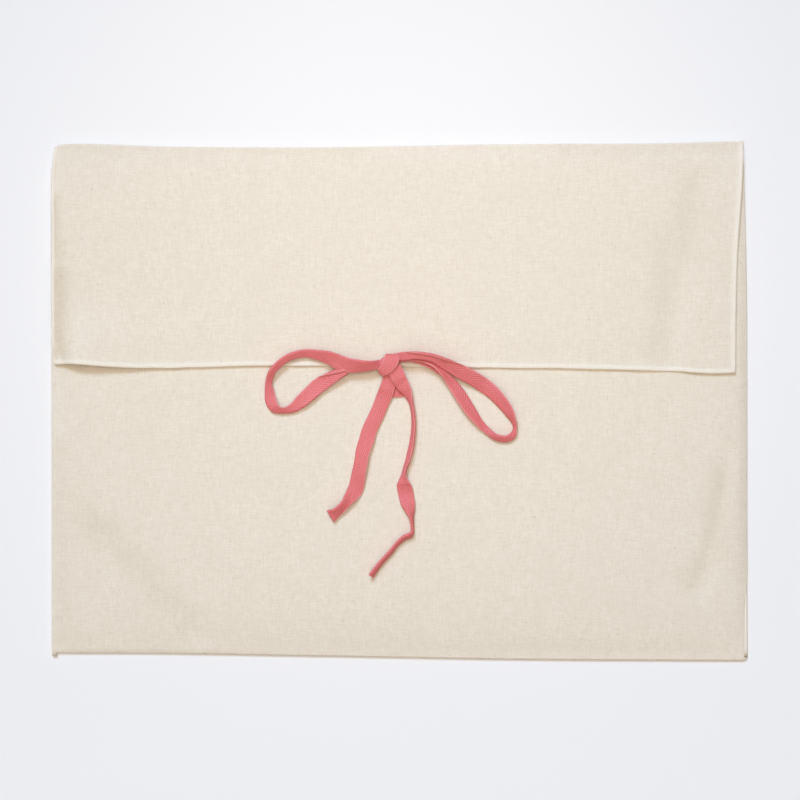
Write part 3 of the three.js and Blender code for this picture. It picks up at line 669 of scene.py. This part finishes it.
def lift_of(row):
    """How far a row holds its tape's lower edge over the cloth."""
    if not isinstance(row.height, list):
        return row.height
    tilt = math.radians(row.tilt)
    lower = KNOT_BED + row.height[0] - half_height(row.width, tilt)
    rest = resting_height(np.array(row.x), np.array(row.y), row.width / 2 * math.cos(tilt))
    return float(lower - CLEARANCE - rest)


def folded_under(row):
    """How much of the tape's width is folded under the rest of it."""
    if isinstance(row.height, list):
        return 0.0
    closed = max(min(TAPE_WIDTH - row.width, row.width - FOLD_INSET), 0.0)
    return lerp(closed, TAPE_WIDTH - row.width, row.opening)


def smoothed(values, reach):
    """Values evened out along the tape over the given number of steps."""
    kernel = np.exp(-(np.arange(-3 * reach, 3 * reach + 1) / reach) ** 2 / 2)
    kernel /= kernel.sum()
    return np.convolve(np.pad(values, 3 * reach, mode="edge"), kernel, mode="valid")


def cross_section(width, hidden, over, opening, v):
    """The middle surface across the tape, for each step: places and slope.

    It starts from the left edge. Places are to the left and up from the route.
    """
    total = (width + hidden)[:, None]
    across = (1 - v[None, :]) / 2 * total
    turn_over = np.clip((over[:, None] - across) / FOLD_BEND, 0, 1)
    turn_under = np.clip((across - width[:, None]) / FOLD_BEND + 0.4, 0, 1)
    slope = (FOLD_TURN - opening)[:, None] * turn_under + FOLD_TURN * turn_over
    step = np.diff(across, axis=1)
    between = (slope[:, 1:] + slope[:, :-1]) / 2
    start = np.zeros((len(width), 1))
    left = np.hstack([start, np.cumsum(-np.cos(between) * step, axis=1)])
    up = np.hstack([start, np.cumsum(-np.sin(between) * step, axis=1)])
    flat_middle = (width + np.minimum(over, width / 2)) / 2
    centre = np.argmin(np.abs(across - flat_middle[:, None]), axis=1)[:, None]
    shift = np.maximum(over - FOLD_BEND / 2, 0)[:, None] / 2
    flat_left = width[:, None] / 2 + shift - np.take_along_axis(across, centre, 1)
    left = left - np.take_along_axis(left, centre, 1) + flat_left
    up = up - np.take_along_axis(up, centre, 1)
    return left, up, slope


def selvedge_wave(length, lane, seed):
    """How far a selvedge strays from its line."""
    stray = SELVEDGE_STRAY * soft_noise(length, lane, 7, seed)
    return stray + PICK_BUMP * np.sin(length * math.tau / PICK)


def tape_path(rows):
    """The tape's middle line through a table's rows, its tilt, width and folds."""
    spans = np.arange((len(rows) - 1) * STEPS_PER_ROW + 1) / STEPS_PER_ROW
    route = catmull([(row.x, row.y, lift_of(row)) for row in rows], spans)
    turns = catmull([(math.radians(row.tilt), row.width, 0) for row in rows], spans)
    folds = catmull([(folded_under(row), row.over, math.radians(row.tilt) * row.opening)
                     for row in rows], spans)
    x, y, lift = route.T
    tilt, width = turns[:, 0], turns[:, 1]
    hidden, over, opening = np.maximum(folds, 0).T
    rest = resting_height(x, y, width / 2 * np.cos(tilt))
    z = rest + CLEARANCE + np.maximum(lift, 0) + half_height(width, tilt)
    z = z + FOLD_DROP * np.cos(tilt) * smoothstep(hidden, 0, FOLD_BEND)
    z = np.maximum(smoothed(z, SETTLE_STEPS), z - SETTLE_DEPTH)
    return stacked(x, y, z), tilt, width, hidden, over, opening


def tape_directions(middle, tilt, across):
    """Directions to the tape's left edge and out of its face."""
    forward = unit(np.gradient(middle, axis=0))
    if across is None:
        side = unit(np.cross([0.0, 0.0, 1.0], forward))
        turned = np.cross(forward, side)
        side = side * np.cos(tilt)[:, None] + turned * np.sin(tilt)[:, None]
    else:
        side = across(np.arange(len(middle)) / (len(middle) - 1))
        side = unit(side - forward * np.sum(side * forward, -1, keepdims=True))
    return side, np.cross(forward, side)


def tape_bulge(length, v, width, hidden, seed, gathered):
    """How the tape stands out of its face: cupped, squeezed together and wrinkled."""
    calm = 1 - 0.7 * smoothstep(hidden, 0, 1.0)
    cup = CUP * soft_noise(length, 0, 19, seed) * calm
    squeeze = np.clip(1 - (width + hidden) / TAPE_WIDTH, 0, 0.6) * calm * gathered
    bulge = cup[:, None] * (v ** 2 - 0.3)[None, :]
    bulge = bulge + squeeze[:, None] * GATHER * np.cos(math.pi * v)[None, :]
    return bulge + WRINKLE * soft_noise(length[:, None], 6 * v[None, :], 4.5, seed + 1)


def tape_thickness(v):
    """Half the thickness across the tape, with a shallow groove inside each selvedge."""
    thin = TAPE / 2 * np.maximum((1 - np.abs(v) ** 9) ** 0.5, THINNEST)
    return thin * (1 - GROOVE * np.exp(-((np.abs(v) - GROOVE_PLACE) / GROOVE_SPREAD) ** 2))


def tape_mesh(rows, seed, across=None, gathered=True):
    """A strip of tape through a table's rows, and its length."""
    middle, tilt, width, hidden, over, opening = tape_path([Row(*row) for row in rows])
    side, face = tape_directions(middle, tilt, across)
    pace = np.linalg.norm(np.diff(middle, axis=0), axis=-1)
    length = np.concatenate([[0], np.cumsum(pace)])
    v = np.linspace(1, -1, ACROSS_POINTS)
    v = np.sign(v) * (1 - (1 - np.abs(v)) ** TOWARDS_SELVEDGES)
    left, up, slope = cross_section(width, hidden, over, opening, v)
    left_wave, right_wave = (selvedge_wave(length, lane, seed + k) for k, lane in ((2, 0), (3, 9)))
    left = left + np.where(v > 0, left_wave[:, None], -right_wave[:, None]) * np.abs(v) ** 3

    def surface(offset):
        return (middle[:, None, :] + side[:, None, :] * (left - np.sin(slope) * offset)[..., None]
                + face[:, None, :] * (up + np.cos(slope) * offset)[..., None])

    bulge, thin = tape_bulge(length, v, width, hidden, seed, gathered), tape_thickness(v)
    place = stacked(v[None, :] * TAPE_WIDTH / 2, length[:, None], 0.0)
    strip = closed_sheet(surface(bulge + thin), surface(bulge - thin), place)
    return facing_out(strip), length[-1]


def band_across(share):
    turn = smoothstep(share, BAND_TURNS_FROM, 1)[:, None]
    return lerp(BAND_ACROSS, BAND_ACROSS_AT_END, turn)


# ---- shader nodes

def put(tree, kind, inputs=None, **settings):
    """A node with its settings, and its inputs linked or set."""
    made = tree.nodes.new("ShaderNode" + kind)
    for name, value in settings.items():
        setattr(made, name, value)
    for socket, value in (inputs or {}).items():
        if isinstance(value, bpy.types.NodeSocket):
            tree.links.new(value, made.inputs[socket])
        else:
            made.inputs[socket].default_value = value
    return made


def maths(tree, operation, *values, clamp=False):
    made = put(tree, "Math", dict(enumerate(values)), operation=operation)
    made.use_clamp = clamp
    return made.outputs[0]


def times(tree, *values, clamp=False):
    return maths(tree, "MULTIPLY", *values, clamp=clamp)


def plus(tree, *values, clamp=False):
    return maths(tree, "ADD", *values, clamp=clamp)


def ramp(tree, value, start, end, first=0.0, last=1.0):
    """A value that goes from `first` to `last` while another goes from `start` to `end`."""
    inputs = {"Value": value, "From Min": start, "From Max": end, "To Min": first, "To Max": last}
    return put(tree, "MapRange", inputs).outputs[0]


def split(tree, place):
    return put(tree, "SeparateXYZ", {0: place}).outputs


def in_steps(tree, place, size):
    """A place, counted in steps of the given size."""
    inputs = {0: place, "Scale": maths(tree, "DIVIDE", 1.0, size)}
    return put(tree, "VectorMath", inputs, operation="SCALE").outputs[0]


def fractal_noise(tree, place, detail, roughness):
    inputs = {"Vector": place, "Scale": 1.0, "Detail": detail, "Roughness": roughness}
    return put(tree, "TexNoise", inputs).outputs["Fac"]


def uneven_yarn(group, given):
    """Thick and thin places of the yarn, as streaks that run both ways."""
    parts, streaks = split(group, given["Place"]), {}
    for name, long_axis, short_axis, offset in (("Across", 0, 1, 3.7), ("Along", 1, 0, 41.3)):
        stretched = put(group, "CombineXYZ", {
            0: maths(group, "DIVIDE", parts[long_axis], given["Length"]),
            1: maths(group, "DIVIDE", parts[short_axis], given["Width"]),
            2: offset,
        })
        streaks[name] = fractal_noise(group, stretched.outputs[0], 2.0, 0.55)
    return streaks


def mottling(group, given):
    """Broad, faint patches."""
    place = in_steps(group, given["Place"], given["Size"])
    return {"Mask": fractal_noise(group, place, 3.0, 0.6)}


def seed_flecks(group, given):
    """Tiny bits of cotton seed caught in the yarn."""
    place = in_steps(group, given["Place"], given["Spacing"])
    cells = put(group, "TexVoronoi", {"Vector": place, "Scale": 1.0}, voronoi_dimensions="2D")
    chance = put(group, "SeparateColor", {0: cells.outputs["Color"]}).outputs
    away = times(group, cells.outputs["Distance"], given["Spacing"])
    size = times(group, given["Size"], plus(group, chance[1], 0.45))
    spot = maths(group, "SUBTRACT", 1.0, maths(group, "DIVIDE", away, size), clamp=True)
    present = maths(group, "LESS_THAN", chance[0], given["Share"])
    strength = times(group, maths(group, "POWER", spot, 0.5), present)
    return {"Mask": times(group, strength, plus(group, chance[2], 0.25), clamp=True)}


def plain_weave(group, given):
    """Over-and-under relief of a plain weave, from 0 in the gaps to 1 on the yarns."""
    parts = split(group, given["Place"])
    turn = maths(group, "DIVIDE", math.pi, given["Pitch"])
    waves = [maths(group, "COSINE", times(group, parts[axis], turn)) for axis in (0, 1)]
    crossing = maths(group, "ABSOLUTE", times(group, *waves))
    return {"Height": maths(group, "POWER", crossing, 0.6)}


def herringbone(group, given):
    """Slanting ribs that meet along the tape's middle, from 0 in the furrows to 1."""
    parts = split(group, given["Place"])
    aside = maths(group, "ABSOLUTE", parts[0])
    across = times(group, aside, maths(group, "COSINE", given["Slant"]))
    along = times(group, parts[1], maths(group, "SINE", given["Slant"]))
    turn = maths(group, "DIVIDE", math.tau, given["Pitch"])
    phase = times(group, maths(group, "SUBTRACT", across, along), turn)
    return {"Height": maths(group, "MULTIPLY_ADD", maths(group, "SINE", phase), 0.5, 0.5)}


# Each shared effect, with its inputs besides the place and their defaults, in millimetres
# and radians.
EFFECTS = {
    "Uneven Yarn": (uneven_yarn, {"Length": 6.0, "Width": 0.9}),
    "Mottling": (mottling, {"Size": 30.0}),
    "Seed Flecks": (seed_flecks, {"Spacing": 7.0, "Size": 0.4, "Share": 0.5}),
    "Plain Weave": (plain_weave, {"Pitch": 0.5}),
    "Herringbone": (herringbone, {"Pitch": 1.3, "Slant": 0.66}),
}


def new_group(name, build, defaults):
    """The shader node group of an effect."""
    group = bpy.data.node_groups.new(name, "ShaderNodeTree")
    sockets = group.interface
    sockets.new_socket("Place", in_out="INPUT", socket_type="NodeSocketVector")
    for socket, default in defaults.items():
        made = sockets.new_socket(socket, in_out="INPUT", socket_type="NodeSocketFloat")
        made.default_value = default
    values = build(group, group.nodes.new("NodeGroupInput").outputs)
    for socket in values:
        sockets.new_socket(socket, in_out="OUTPUT", socket_type="NodeSocketFloat")
    result = group.nodes.new("NodeGroupOutput")
    for socket, value in values.items():
        group.links.new(value, result.inputs[socket])
    return group


def effect(tree, name, **inputs):
    """The outputs of a shared effect, which is made when it is first used."""
    group = bpy.data.node_groups.get(name) or new_group(name, *EFFECTS[name])
    return put(tree, "Group", inputs, node_tree=group).outputs


def mix_colour(tree, factor, first, second, blend="MIX"):
    inputs = {0: factor, 6: first, 7: second}
    return put(tree, "Mix", inputs, data_type="RGBA", blend_type=blend).outputs[2]


def tinted(colour, by):
    return tuple(min(c * b, 1.0) for c, b in zip(colour, by)) + (1.0,)


def toned(tree, colour, base, tones):
    """A colour with tones of the base laid over it, each with its mask, share and tint."""
    for mask, share, tint in tones:
        colour = mix_colour(tree, times(tree, mask, share), colour, tinted(base, tint))
    return colour


def new_material(name):
    material = bpy.data.materials.new(name)
    material.use_nodes = True
    material.node_tree.nodes.clear()
    return material, material.node_tree


def finish_material(tree, colour, height, relief, shader_values):
    """Principled shader with a bumped surface."""
    bump = put(tree, "Bump", {"Height": height, "Strength": 1.0, "Distance": relief * MM})
    shader = put(tree, "BsdfPrincipled",
                 {"Base Color": colour, "Normal": bump.outputs[0], **shader_values})
    put(tree, "OutputMaterial", {"Surface": shader.outputs[0]})


def calico_material(cloth):
    """Unbleached cotton: plain weave, uneven yarn, faint patches and seed flecks, with painted
    shade and a painted highlight along the flap's rims.
    """
    material, tree = new_material("Unbleached Calico")
    parts = split(tree, put(tree, "Attribute", attribute_name=PLACE).outputs["Vector"])
    place = put(tree, "CombineXYZ", {0: parts[0], 1: parts[1]}).outputs[0]
    # Painted highlight: the calico turns lighter and bluer along the rims of the flap's free edges,
    # where a rolled edge catches the light.
    rim = ramp(tree, parts[2], 2.0, 3.4, 1.0, 0.0)
    painted_shade = put(tree, "Attribute", attribute_name=PAINTED_SHADE_SHARE).outputs["Fac"]
    base = tuple(cloth.colour)
    yarn = effect(tree, "Uneven Yarn", Place=place, Length=5.5, Width=0.95)
    patches = effect(tree, "Mottling", Place=place, Size=24.0)
    flecks = effect(tree, "Seed Flecks", Place=place, Spacing=6.0, Size=cloth.fleck_size / MM,
                    Share=0.4)
    weave = effect(tree, "Plain Weave", Place=place, Pitch=cloth.thread_pitch / MM)
    streaks = times(tree, plus(tree, yarn["Across"], yarn["Along"]), 0.5)
    clear = maths(tree, "MULTIPLY_ADD", maths(tree, "SUBTRACT", streaks, 0.5), 3.3, 0.5,
                  clamp=True)
    colour = mix_colour(tree, clear, tinted(base, (0.905, 0.888, 0.856)),
                        tinted(base, (1.062, 1.073, 1.094)))
    colour = toned(tree, colour, base, ((patches["Mask"], 0.8, (0.935, 0.93, 0.92)),
                                        (rim, 0.6, (1.07, 1.09, 1.13))))
    # Painted shade: the calico is greyed along creases, beside the left rim and along the top fold.
    colour = mix_colour(tree, painted_shade, colour, (0.90, 0.88, 0.84, 1.0), "MULTIPLY")
    colour = mix_colour(tree, times(tree, flecks["Mask"], 0.24), colour, (0.33, 0.22, 0.13, 1.0))
    height = plus(tree, times(tree, weave["Height"], 0.5), times(tree, clear, 1.2))
    finish_material(tree, colour, height, 0.05,
                    {"Roughness": 0.93, "Specular IOR Level": 0.15, "Sheen Weight": 0.08,
                     "Sheen Roughness": 0.6})
    return material


def twill_material(tape):
    """Dyed cotton tape: herringbone ribs and firm selvedges, with a painted highlight along them.
    """
    material, tree = new_material("Dyed Twill Tape")
    place = put(tree, "Attribute", attribute_name=PLACE).outputs["Vector"]
    base = tuple(tape.colour)
    yarn = effect(tree, "Uneven Yarn", Place=place, Length=4.0, Width=0.6)
    patches = effect(tree, "Mottling", Place=place, Size=12.0)
    ribs = effect(tree, "Herringbone", Place=place, Pitch=tape.rib_pitch / MM, Slant=0.66)
    # Painted highlight: a pale, whitish band along each selvedge, where the tape's edges catch the
    # light.
    selvedge = ramp(tree, maths(tree, "ABSOLUTE", split(tree, place)[0]), 4.1, 4.5)
    rib = times(tree, ribs["Height"], maths(tree, "SUBTRACT", 1.0, selvedge))
    tone = plus(tree, times(tree, rib, 0.6), times(tree, yarn["Along"], 0.5), clamp=True)
    colour = mix_colour(tree, tone, tinted(base, (0.80, 0.50, 0.52)),
                        tinted(base, (1.10, 1.38, 1.35)))
    colour = toned(tree, colour, base, ((patches["Mask"], 0.3, (0.93, 0.85, 0.86)),
                                        (selvedge, 0.6, (1.08, 1.95, 1.85))))
    height = plus(tree, rib, times(tree, yarn["Across"], 0.6))
    finish_material(tree, colour, height, 0.16, {"Roughness": 0.55, "Specular IOR Level": 0.7})
    return material


def floor_material():
    """Plain, pale, matt paper."""
    material, tree = new_material("Pale Floor")
    grain = put(tree, "TexNoise", {"Scale": 60.0, "Detail": 3.0}).outputs["Fac"]
    colour = mix_colour(tree, grain, (0.905, 0.906, 0.926, 1.0), (0.912, 0.913, 0.933, 1.0))
    finish_material(tree, colour, grain, 0.02, {"Roughness": 0.95, "Specular IOR Level": 0.1})
    return material


# ---- what a user may change

class PouchCloth(PropertyGroup):
    """The calico."""

    colour: FloatVectorProperty(
        name="Colour", description="Colour of the unbleached cotton", subtype="COLOR", size=3,
        min=0.0, max=1.0, default=(0.850, 0.776, 0.674))
    thread_pitch: FloatProperty(
        name="Thread Pitch", description="From one thread of the weave to the next",
        default=0.0005, min=0.0002, max=0.002, unit="LENGTH", precision=5)
    fleck_size: FloatProperty(
        name="Fleck Size", description="Radius of the largest seed flecks",
        default=0.0005, min=0.0, max=0.002, unit="LENGTH", precision=5)


class PouchTape(PropertyGroup):
    """The twill tape."""

    colour: FloatVectorProperty(
        name="Colour", description="Colour of the dyed tape", subtype="COLOR", size=3,
        min=0.0, max=1.0, default=(0.78, 0.174, 0.186))
    rib_pitch: FloatProperty(
        name="Rib Pitch", description="From one slanting rib of the tape to the next",
        default=0.0013, min=0.0004, max=0.003, unit="LENGTH", precision=5)


class PouchStage(PropertyGroup):
    """Floor, light and camera."""

    camera_height: FloatProperty(
        name="Camera Height", description="Of the camera over the pouch's face",
        default=1.2195, min=0.3, max=5.0, unit="LENGTH")
    lens: FloatProperty(
        name="Lens", description="Focal length of the camera", default=85.0, min=20.0, max=200.0,
        unit="CAMERA")
    light_level: FloatProperty(
        name="Light Level", description="Brightness of all the lights together", default=1.0,
        min=0.0, max=10.0)


# Lights: name, kind, place, what it points at, sizes and power. A soft box has its width and
# length in metres, a spot its radius and its opening in degrees, the sun its width in degrees.
LIGHTS = [
    ("wide", "AREA", (0.0, 0.0, 1.6), (0.0, 0.0, 0.0), (1.6, 1.6), 9.3),
    ("pool", "SPOT", (0.0, 0.27, 1.3), (0.0, 0.14, 0.0), (0.15, 28.0), 9.6),
    ("left", "AREA", (-1.3, 0.2, 1.2), (0.0, 0.0, 0.0), (0.8, 0.8), 1.1),
    ("bottom", "AREA", (0.0, -1.3, 1.3), (0.0, 0.0, 0.0), (0.8, 0.8), 2.83),
    ("window", "SUN", (-0.35, 1.0, 1.1), (0.0, 0.0, 0.0), (20.0,), 1.62),
]
SUN_COLOUR = (0.78, 1.02, 1.34)
LIGHT_COLOUR = (1.127, 0.989, 0.818)
FILL_COLOUR = (1.15, 0.985, 0.77)
FILL_STRENGTH = 0.2
FLOOR_SIZE = 4.0  # metres from its middle to its edges
FLOOR_DROP = 0.0002  # how far it lies under the cloth
CAMERA_OFFSET = (0.0004, 0.0005)  # from the pouch's middle
FACE_SHARE = 0.4  # how far up the envelope's box most of its face lies


# ---- floor, lights and camera

def add_floor(scene):
    mesh = bpy.data.meshes.new("floor")
    corners = [(x * FLOOR_SIZE, y * FLOOR_SIZE, -FLOOR_DROP)
               for x, y in ((-1, -1), (1, -1), (1, 1), (-1, 1))]
    mesh.from_pydata(corners, [], [(0, 1, 2, 3)])
    mesh.materials.append(floor_material())
    floor = bpy.data.objects.new("floor", mesh)
    scene.collection.objects.link(floor)


def add_light(scene, name, kind, place, aim, sizes, power):
    lamp = bpy.data.lights.new(name, kind)
    lamp.energy = power
    lamp.color = SUN_COLOUR if kind == "SUN" else LIGHT_COLOUR
    if kind == "AREA":
        lamp.shape = "RECTANGLE"
        lamp.size, lamp.size_y = sizes
    elif kind == "SUN":
        lamp.angle = math.radians(sizes[0])
    else:
        lamp.shadow_soft_size, lamp.spot_size = sizes[0], math.radians(sizes[1])
        lamp.spot_blend = 1.0
    lamp_object = bpy.data.objects.new(name, lamp)
    lamp_object.location = place
    towards = Vector(aim) - Vector(place)
    lamp_object.rotation_euler = towards.to_track_quat("-Z", "Y").to_euler()
    scene.collection.objects.link(lamp_object)


def add_fill_light(scene, strength):
    """Even light from all round."""
    world = bpy.data.worlds.new("studio")
    world.use_nodes = True
    background = world.node_tree.nodes["Background"]
    background.inputs["Color"].default_value = (*FILL_COLOUR, 1)
    background.inputs["Strength"].default_value = strength
    scene.world = world


def add_camera(scene, height, lens):
    """A camera that looks straight down."""
    camera = bpy.data.cameras.new("camera")
    camera.lens, camera.sensor_width = lens, 36.0
    camera_object = bpy.data.objects.new("camera", camera)
    camera_object.location = (*CAMERA_OFFSET, height)
    scene.collection.objects.link(camera_object)
    scene.camera = camera_object
    scene.view_settings.view_transform = "Standard"


# ---- one operator for each piece

def add_piece(operator, name, node, part, material):
    made = add_mesh(name, *part, material)
    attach(made, "root")
    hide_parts(node)
    operator.report({"INFO"}, f"{name}: {len(made.data.polygons)} faces")
    return made


class POUCH_OT_envelope(Operator):
    """Add the calico envelope: one strip folded twice, sewn at both sides"""

    bl_idname = "pouch.envelope"
    bl_label = "Envelope"

    def execute(self, context):
        part, length = envelope_mesh()
        made = add_piece(self, "calico_envelope", "envelope", part,
                         calico_material(context.scene.pouch_cloth))
        # Painted shade, stored on the points as a share from 0 to 1.
        attribute = made.data.attributes.new(PAINTED_SHADE_SHARE, "FLOAT", "POINT")
        attribute.data.foreach_set("value", painted_shade_share(part[0]).astype(np.float32))
        return {"FINISHED"}


class POUCH_OT_ties(Operator):
    """Add the two twill tapes, tied in a bow over the flap's edge"""

    bl_idname = "pouch.ties"
    bl_label = "Ties"

    def execute(self, context):
        material = twill_material(context.scene.pouch_tape)
        ties = (
            ("flap_tie", "tie_flap",
             (tape_mesh(FLAP_TAB, 100), tape_mesh(LEFT_LOOP, 110), tape_mesh(LEFT_TAIL, 120))),
            ("front_tie", "tie_front",
             (tape_mesh(STUB_AND_BAND, 130, band_across, gathered=False),
              tape_mesh(RIGHT_LOOP, 140), tape_mesh(RIGHT_TAIL, 150))),
        )
        for name, node, strips in ties:
            part = join_parts([strip for strip, _ in strips])
            made = add_piece(self, name, node, part, material)
        return {"FINISHED"}


class POUCH_OT_stage(Operator):
    """Add the floor, the soft light and the camera"""

    bl_idname = "pouch.stage"
    bl_label = "Stage"

    def execute(self, context):
        scene, settings = context.scene, context.scene.pouch_stage
        add_floor(scene)
        for *light, power in LIGHTS:
            add_light(scene, *light, power * settings.light_level)
        add_fill_light(scene, FILL_STRENGTH * settings.light_level)
        face_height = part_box("envelope")[1][2] * FACE_SHARE
        add_camera(scene, settings.camera_height + face_height, settings.lens)
        return {"FINISHED"}


class POUCH_PT_panel(Panel):
    """Lists the pouch's pieces and their settings"""

    bl_idname = "POUCH_PT_panel"
    bl_label = "Fabric Envelope Pouch"
    bl_space_type = "VIEW_3D"
    bl_region_type = "UI"
    bl_category = "Pouch"

    def draw(self, context):
        scene = context.scene
        for operator, group in ((POUCH_OT_envelope, scene.pouch_cloth),
                                (POUCH_OT_ties, scene.pouch_tape),
                                (POUCH_OT_stage, scene.pouch_stage)):
            column = self.layout.column(align=True)
            for name in group.__annotations__:
                column.prop(group, name)
            column.operator(operator.bl_idname)


CLASSES = (PouchCloth, PouchTape, PouchStage, POUCH_OT_envelope, POUCH_OT_ties, POUCH_OT_stage,
           POUCH_PT_panel)
SETTINGS = {"pouch_cloth": PouchCloth, "pouch_tape": PouchTape, "pouch_stage": PouchStage}


def register():
    for cls in CLASSES:
        bpy.utils.register_class(cls)
    for name, kind in SETTINGS.items():
        setattr(bpy.types.Scene, name, PointerProperty(type=kind))


def unregister():
    for name in SETTINGS:
        delattr(bpy.types.Scene, name)
    for cls in reversed(CLASSES):
        bpy.utils.unregister_class(cls)


def main():
    register()
    bpy.ops.pouch.envelope()
    bpy.ops.pouch.ties()
    bpy.ops.pouch.stage()


if __name__ == "__main__":
    main()
